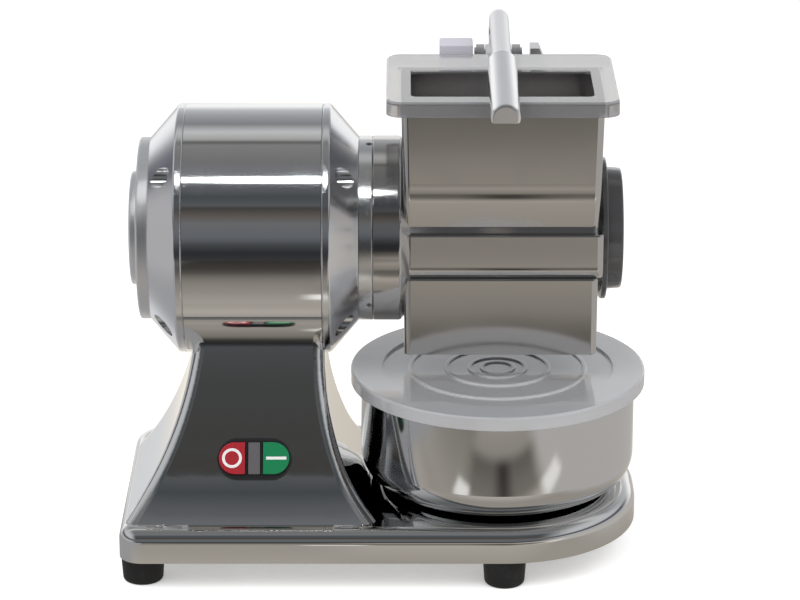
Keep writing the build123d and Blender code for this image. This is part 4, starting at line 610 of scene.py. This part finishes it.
def add_tree(name, kinds):
    """A Geometry Nodes tree with the named inputs: its sheet, and a socket for each input."""
    tree = bpy.data.node_groups.new(name, "GeometryNodeTree")
    tree.interface.new_socket("Geometry", in_out="INPUT", socket_type="NodeSocketGeometry")
    for label, kind in kinds.items():
        tree.interface.new_socket(label, in_out="INPUT", socket_type="NodeSocket" + kind)
    tree.interface.new_socket("Geometry", in_out="OUTPUT", socket_type="NodeSocketGeometry")
    sheet = Sheet(tree)
    given = {label: sheet.node("NodeGroupInput", out=label) for label in ("Geometry", *kinds)}
    return sheet, given


def put_copies(sheet, given, points, rotation, size):
    """The end of a tree: copies of the form on points, made real and given their finish."""
    form = sheet.node("GeometryNodeObjectInfo", {"transform_space": "ORIGINAL"}, {"Object": given["Form"]},
                      out="Geometry")
    placed = sheet.node("GeometryNodeInstanceOnPoints", None,
                        {"Points": points, "Instance": form, "Rotation": rotation, "Scale": size})
    real = sheet.node("GeometryNodeRealizeInstances", None, {"Geometry": placed})
    done = sheet.node("GeometryNodeSetMaterial", None, {"Geometry": real, "Material": given["Finish"]})
    sheet.node("NodeGroupOutput", None, {"Geometry": done})


def screw_tree():
    """Screws at the points of a mesh, all along one way, each turned by its own angle."""
    sheet, given = add_tree("screws_on_points", {"Form": "Object", "Radius": "Float", "Way": "Vector",
                                                 "Seed": "Int", "Finish": "Material"})
    lie = sheet.node("FunctionNodeAlignRotationToVector", {"axis": "Z"}, {"Vector": given["Way"]})
    twist = sheet.node("FunctionNodeRandomValue", {"data_type": "FLOAT"},
                       {2: 0.0, 3: math.pi / 3, "Seed": given["Seed"]}, out=1)
    turn = sheet.node("FunctionNodeAxisAngleToRotation", None, {"Axis": (0, 0, 1), "Angle": twist})
    turned = sheet.node("FunctionNodeRotateRotation", {"rotation_space": "LOCAL"},
                        {"Rotation": lie, "Rotate By": turn})
    put_copies(sheet, given, given["Geometry"], turned, given["Radius"])
    return sheet.tree


def point_tree():
    """Punched points wound round a drum in rows, every other row shifted by half a step."""
    sheet, given = add_tree("points_on_drum", {"Form": "Object", "Rows": "Int", "Per row": "Int",
                                               "Drum radius": "Float", "Drum length": "Float",
                                               "Point size": "Float", "Finish": "Material"})
    index = sheet.node("GeometryNodeInputIndex")
    row = sheet.maths("FLOOR", index / given["Per row"])
    step = index - row * given["Per row"]
    shifted = step + sheet.maths("FRACT", row * 0.5)
    angle = shifted * (2 * math.pi) / given["Per row"]
    along = (row + 0.5) / given["Rows"] * given["Drum length"] - given["Drum length"] * 0.5
    cosine = sheet.maths("COSINE", angle)
    sine = sheet.maths("SINE", angle)
    spot = sheet.row(along, cosine * given["Drum radius"], sine * given["Drum radius"])
    points = sheet.node("GeometryNodePoints", None,
                        {"Count": given["Rows"] * given["Per row"], "Position": spot})
    outward = sheet.node("FunctionNodeAlignRotationToVector", {"axis": "Z"},
                         {"Vector": sheet.row(0.0, cosine, sine)})
    put_copies(sheet, given, points, outward, given["Point size"])
    return sheet.tree


def grown(name, tree, mesh, values):
    """Mesh of an object that carries the tree, with its inputs set by identifier."""
    carrier = bpy.data.objects.new(name, mesh)
    modifier = carrier.modifiers.new(name, "NODES")
    modifier.node_group = tree
    for item in tree.interface.items_tree:
        if item.in_out == "INPUT" and item.name in values:
            modifier[item.identifier] = values[item.name]
    bpy.context.collection.objects.link(carrier)
    bpy.context.view_layer.update()
    seen = carrier.evaluated_get(bpy.context.evaluated_depsgraph_get())
    result = bpy.data.meshes.new_from_object(seen)
    result.name = name
    carrier.modifiers.remove(modifier)
    bpy.data.objects.remove(carrier)
    return result


def form_object(name, mesh):
    """A shape that a tree repeats; it is removed once the trees are done."""
    made = bpy.data.objects.new(name, mesh)
    bpy.context.collection.objects.link(made)
    return made


# The two forms that repeat

# A cap screw of head radius 1, by radius and height, and a punched point of foot radius 1, by the radius,
# lean, height and tilt of each of its rings
SCREW_STEPS = 24
SCREW_PROFILE = ((0.52, -1.9), (0.52, 0.0), (0.97, 0.0), (1.0, 0.05), (1.0, 0.45), (0.93, 0.58),
                 (0.8, 0.65))
HEXAGON_PROFILE = ((0.55, 0.65), (0.5, 0.6), (0.5, 0.22))
POINT_STEPS = 10
POINT_RINGS = ((1.0, 0.0, -0.4, 0.0), (0.62, 0.12, 0.45, 0.0), (0.3, 0.28, 0.95, 0.12),
               (0.16, 0.28, 0.55, 0.0))


def hexagon_reach(step):
    """Distance to a hexagon's side over the distance to its corner, at one of the screw's steps."""
    angle = 2 * math.pi * step / SCREW_STEPS
    from_flat = angle % (math.pi / 3) - math.pi / 6
    return math.cos(math.pi / 6) / math.cos(from_flat)


def socket_screw():
    """Cap screw along +Z: a shank, a head with a domed edge and a hexagon socket."""
    ways = round_ways(SCREW_STEPS)
    rings = []
    for radius, height in SCREW_PROFILE:
        rings.append([(radius * cosine, radius * sine, height) for cosine, sine in ways])
    for radius, height in HEXAGON_PROFILE:
        reaches = [radius * hexagon_reach(step) for step in range(SCREW_STEPS)]
        rings.append([(reach * cosine, reach * sine, height)
                      for reach, (cosine, sine) in zip(reaches, ways)])
    return skinned("screw_form", rings)


def grating_point():
    """A punched point: a leaning cone with a pit in its tip."""
    rings = [[(radius * cosine + lean, radius * sine, height + tilt * cosine)
              for cosine, sine in round_ways(POINT_STEPS)]
             for radius, lean, height, tilt in POINT_RINGS]
    return skinned("point_form", rings)


# Cap screws and the drum's points

MERGE_REACH = 1e-5
SORT_DIGITS = 5
SCREW_HEAD_R = 0.0045
SCREW_HEAD_H = 0.003
SCREW_SETS = (
    ("end_cover_screws", Vector((-1, 0, 0)), "frame"),
    ("hinge_bracket_screws", Vector((0, 1, 0)), "frame"),
    ("presser_screws", Vector((0, 0, 1)), "lever"),
    ("bottom_plate_screws", Vector((0, 0, -1)), "frame"),
    ("foot_screws", Vector((0, 0, -1)), "frame"),
)
POINT_ROWS = 26
POINTS_PER_ROW = 44
POINT_SIZE = 0.0011
DRUM_BARE_END = 0.004


def island_boxes(node):
    """Lowest and highest corner of each separate solid of a CAD node."""
    copy = bmesh.new()
    copy.from_mesh(cad[node].data)
    bmesh.ops.remove_doubles(copy, verts=copy.verts, dist=MERGE_REACH)
    left = set(copy.verts)
    boxes = []
    while left:
        waiting = [left.pop()]
        points = []
        while waiting:
            vertex = waiting.pop()
            points.append(vertex.co.copy())
            for edge in vertex.link_edges:
                other = edge.other_vert(vertex)
                if other in left:
                    left.remove(other)
                    waiting.append(other)
        low = Vector(min(p[i] for p in points) for i in range(3))
        high = Vector(max(p[i] for p in points) for i in range(3))
        boxes.append((low, high))
    copy.free()
    return sorted(boxes, key=lambda box: tuple(round(c, SORT_DIGITS) for c in box[0]))


def head_seats(node, way):
    """Mesh of one point under each screw's head, where it bears."""
    seats = []
    for low, high in island_boxes(node):
        middle = (low + high) / 2
        reach = Vector(high[i] if way[i] > 0 else low[i] for i in range(3))
        top = middle + Vector((reach[i] - middle[i]) * abs(way[i]) for i in range(3))
        seats.append(top - way * SCREW_HEAD_H)
    mesh = bpy.data.meshes.new(node + "_seats")
    mesh.from_pydata(seats, [], [])
    return mesh


screw_form = form_object("screw_form", socket_screw())
point_form = form_object("point_form", grating_point())
screws = screw_tree()
for number, (node, way, body) in enumerate(SCREW_SETS):
    mesh = grown(node.replace("_screws", "_cap_screws"), screws, head_seats(node, way),
                 {"Form": screw_form, "Radius": SCREW_HEAD_R, "Way": way, "Seed": number,
                  "Finish": screw_metal})
    set_piece = piece(mesh.name, mesh, screw_metal, body)
    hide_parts(node)

points = grown("drum_points", point_tree(), bpy.data.meshes.new("drum_seed"),
               {"Form": point_form, "Rows": POINT_ROWS, "Per row": POINTS_PER_ROW,
                "Drum radius": DRUM_SHEET_R, "Drum length": DRUM_LENGTH - 2 * DRUM_BARE_END,
                "Point size": POINT_SIZE, "Finish": drum_metal})
points.transform(Matrix.Translation(DRUM_MIDDLE))
piece("drum_points", points, drum_metal, "rotor")
for form in (screw_form, point_form):
    bpy.data.objects.remove(form)


# Stage: the camera

CAMERA_PLACE = (0.01191, -2.60745, 1.1082)
CAMERA_TILT = math.radians(70.7)
CAMERA_LENS = 160.29
CAMERA_SENSOR = 36.0
CAMERA_REACH = 50.0

camera_data = bpy.data.cameras.new("camera")
camera_data.lens = CAMERA_LENS
camera_data.sensor_width = CAMERA_SENSOR
camera_data.clip_end = CAMERA_REACH
camera = bpy.data.objects.new("camera", camera_data)
camera.location = CAMERA_PLACE
camera.rotation_euler = (CAMERA_TILT, 0.0, 0.0)
bpy.context.collection.objects.link(camera)
scene = bpy.context.scene
scene.camera = camera
scene.view_settings.view_transform = "Standard"


# Stage: the studio that bright metal sees

# By the angle of the view over the top, in degrees: 0 is level in front, 90 overhead and 180 level behind
STUDIO = (
    (-180, (1.0, 1.0, 1.0)), (-120, (0.50, 0.49, 0.47)), (-15, (0.05, 0.047, 0.05)),
    (-5, (0.025, 0.027, 0.03)), (2, (0.06, 0.065, 0.07)), (9, (0.13, 0.14, 0.155)),
    (22, (0.15, 0.155, 0.16)), (29, (0.115, 0.10, 0.088)), (36, (0.05, 0.05, 0.05)),
    (38, (0.10, 0.105, 0.11)), (46, (0.065, 0.075, 0.08)), (56, (0.12, 0.125, 0.14)),
    (66, (0.2, 0.21, 0.225)), (80, (0.18, 0.18, 0.18)), (100, (0.23, 0.23, 0.23)),
    (103.5, (0.10, 0.10, 0.1)), (107, (0.40, 0.40, 0.39)), (117, (0.57, 0.575, 0.58)),
    (129, (0.24, 0.245, 0.255)), (144, (0.36, 0.37, 0.385)), (157, (0.52, 0.53, 0.545)),
    (164, (0.78, 0.785, 0.79)), (169, (1.0, 1.0, 1.0)),
)
# To the left and right, by the height of the view: a pale floor, a dark room and a lit ceiling
SIDES = (
    (-1.0, (0.46, 0.455, 0.45)), (0.10, (0.47, 0.465, 0.47)), (0.15, (0.42, 0.42, 0.43)),
    (0.18, (0.10, 0.105, 0.13)), (0.28, (0.10, 0.105, 0.13)), (0.38, (0.55, 0.56, 0.58)),
    (1.0, (0.62, 0.635, 0.66)),
)
SIDES_EDGE = (0.45, 0.85)
DIFFUSE_LEVEL = (0.5, 0.5, 0.505, 1.0)


def studio_world():
    """White for the camera, the studio for bright metal, and an even light for matt surfaces."""
    world = bpy.data.worlds.new("studio")
    world.use_nodes = True
    scene.world = world
    sheet = Sheet(world.node_tree)
    way = sheet.node("ShaderNodeTexCoord", out="Generated")
    x, y, z = (sheet.axis(way, letter) for letter in "XYZ")
    over = sheet.maths("ARCTAN2", z, y * -1.0)
    stops = [((degrees + 180) / 360, colour) for degrees, colour in STUDIO]
    bands = sheet.node("ShaderNodeValToRGB", {"stops": stops}, {0: over / (2 * math.pi) + 0.5})
    heights = [((height + 1) / 2, colour) for height, colour in SIDES]
    sides = sheet.node("ShaderNodeValToRGB", {"stops": heights}, {0: z * 0.5 + 0.5})
    mirrored = sheet.blend(sheet.between(sheet.maths("ABSOLUTE", x), *SIDES_EDGE), bands, sides)
    plain = sheet.blend(sheet.in_view(), DIFFUSE_LEVEL, WHITE)
    colour = sheet.blend(sheet.ray("Glossy"), plain, mirrored)
    shader = sheet.node("ShaderNodeBackground", None, {"Color": colour, "Strength": 1.0})
    sheet.node("ShaderNodeOutputWorld", None, {"Surface": shader})


# Stage: the floor, and a glowing table that bright metal sees in its place, a painted reflection

# An edge is the place where something begins and the place where it is full
FLOOR_FRONT = -1.2
FLOOR_REACH = 4.0
FLOOR_ALBEDO = (0.8, 0.8, 0.8, 1.0)
FLOOR_GLOW = 0.6
# Reach, samples, edges and strength of the painted contact shadow in the floor's glow
CONTACT_REACH = 0.06
CONTACT_SAMPLES = 8
CONTACT_EDGE = (0.36, 0.08)
CONTACT_SHADE = 0.52
TABLE_TINT = (1.08, 1.0, 0.89)
TABLE_BACK = 0.3
TABLE_DEPTH = TABLE_BACK - FLOOR_FRONT
# How light the painted table reflection is at each y, before the motor and before the head
MOTOR_TABLE = ((-1.2, 0.03), (-0.75, 0.05), (-0.62, 0.085), (-0.43, 0.23), (-0.31, 0.29), (-0.23, 0.36),
               (-0.2, 0.35), (-0.16, 0.42), (-0.11, 0.30), (0.0, 0.36), (0.15, 0.85))
HEAD_TABLE = ((-1.2, 0.10), (-0.87, 0.18), (-0.8, 0.26), (-0.725, 0.40), (-0.65, 0.28), (-0.6, 0.30),
              (-0.52, 0.45), (-0.44, 0.35), (-0.37, 0.30), (-0.3, 0.50), (-0.25, 0.53), (-0.2, 0.40),
              (-0.17, 0.34), (0.0, 0.36), (0.15, 0.62))
HEAD_EDGE = (-0.07, 0.0)
RIGHT_TABLE = (0.52, 0.50, 0.475, 1.0)
RIGHT_EDGE = (0.22, 0.3)
LEFT_FRONT = (0.36, 0.36, 0.37, 1.0)
LEFT_BACK = (0.72, 0.725, 0.74, 1.0)
LEFT_BACK_EDGE = (0.1, 0.2)
LEFT_FAR = (0.46, 0.455, 0.46, 1.0)
LEFT_FAR_EDGE = (-0.5, -0.9)
LEFT_EDGE = (-0.2, -0.28)
# A soft patch of painted shade before the bowl, darker along its middle, and a painted glint at each side:
# middle and half size
DARK_MIDDLE_X = 0.105
DARK_NEAR_EDGE = (-0.245, -0.29)
DARK_FAR_EDGE = (-0.388, -0.352)
DARK_SIDE_EDGE = (0.18, 0.11)
DARK_SHADE = 0.62
DARK_LINE_EDGE = (0.05, 0.0)
DARK_LINE_SHADE = 0.26
GLINTS = (((-0.04, -0.268), (0.036, 0.032)), ((0.285, -0.255), (0.06, 0.032)))
GLINT_CORE = (0.4, 0.3)
GLINT_LIGHT = (0.95, 0.93, 0.89, 1.0)


def painted_table_reflection(sheet):
    """Painted reflection of a warm grey table, paler near the stand and at both sides, with the painted
    shade and the painted glints.
    """
    place = sheet.coords()
    x, y = (sheet.axis(place, letter) for letter in "XY")
    along = (y - FLOOR_FRONT) / TABLE_DEPTH

    def strip(levels):
        stops = [((level_y - FLOOR_FRONT) / TABLE_DEPTH, tuple(level * c for c in TABLE_TINT))
                 for level_y, level in levels]
        return sheet.node("ShaderNodeValToRGB", {"stops": stops}, {0: along})

    colour = sheet.blend(sheet.between(x, *HEAD_EDGE), strip(MOTOR_TABLE), strip(HEAD_TABLE))
    colour = sheet.blend(sheet.between(x, *RIGHT_EDGE), colour, RIGHT_TABLE)
    # Painted shade: a dark patch laid on the reflection before the bowl, darkest along its middle.
    aside = sheet.maths("ABSOLUTE", x - DARK_MIDDLE_X)
    inside = sheet.between(y, *DARK_NEAR_EDGE) * sheet.between(y, *DARK_FAR_EDGE)
    line = sheet.between(aside, *DARK_LINE_EDGE) * DARK_LINE_SHADE
    shade = sheet.between(aside, *DARK_SIDE_EDGE) * DARK_SHADE + line
    colour = sheet.blend(inside * shade, colour, BLACK)
    # Painted glints: bright patches laid on the reflection at each side of the bowl.
    for (middle_x, middle_y), (half_x, half_y) in GLINTS:
        across = sheet.between(sheet.maths("ABSOLUTE", x - middle_x), half_x, half_x * GLINT_CORE[0])
        deep = sheet.between(sheet.maths("ABSOLUTE", y - middle_y), half_y, half_y * GLINT_CORE[1])
        colour = sheet.blend(across * deep, colour, GLINT_LIGHT)
    left = sheet.blend(sheet.between(y, *LEFT_BACK_EDGE), LEFT_FRONT, LEFT_BACK)
    left = sheet.blend(sheet.between(x, *LEFT_FAR_EDGE), left, LEFT_FAR)
    return sheet.blend(sheet.between(x, *LEFT_EDGE), colour, left)


def floor_finish():
    """White paper that keeps the shadow, with a glow for the camera that is darkened near the object as a
    painted contact shadow, and a warm grey table, a painted reflection, for what bright metal sees.
    """
    material = bpy.data.materials.new("floor_paper")
    material.use_nodes = True
    sheet = Sheet(material.node_tree)
    paper = sheet.node("ShaderNodeBsdfDiffuse", None, {"Color": FLOOR_ALBEDO})
    # Ambient occlusion darkens the glow where the floor is hemmed in by the object: a painted contact
    # shadow.
    open_sky = sheet.node("ShaderNodeAmbientOcclusion", {"samples": CONTACT_SAMPLES},
                          {"Distance": CONTACT_REACH}, out="AO")
    contact = sheet.blend(sheet.between(open_sky, *CONTACT_EDGE) * CONTACT_SHADE, WHITE, BLACK)
    glow_colour = sheet.blend(sheet.in_view(), BLACK, contact)
    glow = sheet.node("ShaderNodeEmission", None, {"Color": glow_colour, "Strength": FLOOR_GLOW})
    lit = sheet.node("ShaderNodeAddShader", None, {0: paper, 1: glow})
    # The table glows for glossy rays only: a painted reflection, not a lit surface.
    table = sheet.node("ShaderNodeEmission", None, {"Color": painted_table_reflection(sheet), "Strength": 1.0})
    surface = sheet.node("ShaderNodeMixShader", None, {0: sheet.ray("Glossy"), 1: lit, 2: table})
    sheet.node("ShaderNodeOutputMaterial", None, {"Surface": surface})
    return material


def stage_floor():
    """A flat floor that reaches from in front of the object to far behind it."""
    mesh = bpy.data.meshes.new("floor")
    corners = ((-FLOOR_REACH, FLOOR_FRONT, 0), (FLOOR_REACH, FLOOR_FRONT, 0),
               (FLOOR_REACH, FLOOR_REACH, 0), (-FLOOR_REACH, FLOOR_REACH, 0))
    mesh.from_pydata(corners, [], [(0, 1, 2, 3)])
    mesh.materials.append(floor_finish())
    floor = bpy.data.objects.new("floor", mesh)
    bpy.context.collection.objects.link(floor)


# Stage: the lamps

def area_lamp(name, place, aim, power, length, width, spread=math.pi):
    """A flat lamp at a place, turned to shine at another."""
    data = bpy.data.lights.new(name, "AREA")
    data.shape = "RECTANGLE"
    data.size = length
    data.size_y = width
    data.energy = power
    data.spread = spread
    lamp = bpy.data.objects.new(name, data)
    lamp.location = place
    lamp.rotation_euler = (Vector(aim) - Vector(place)).to_track_quat("-Z", "Y").to_euler()
    bpy.context.collection.objects.link(lamp)
    return lamp


def strip_lamp():
    """A narrow lamp that the barrel shows as one white line."""
    lamp = area_lamp("strip_lamp", place=(-0.14, -0.467, 1.108), aim=(-0.14, -0.0514, 0.31), power=0.008,
                     length=0.24, width=0.09, spread=math.radians(8))
    lamp.visible_camera = False


def soft_lamp(name, place, size, power):
    """A broad lamp that lights matt surfaces; bright metal sees the studio instead."""
    lamp = area_lamp(name, place, aim=(0.0, 0.0, 0.2), power=power, length=size, width=size)
    lamp.visible_glossy = False


studio_world()
stage_floor()
strip_lamp()
soft_lamp("key_lamp", place=(-0.9, -1.3, 2.2), size=1.8, power=30.0)
soft_lamp("fill_lamp", place=(1.3, -0.9, 1.6), size=1.6, power=12.0)
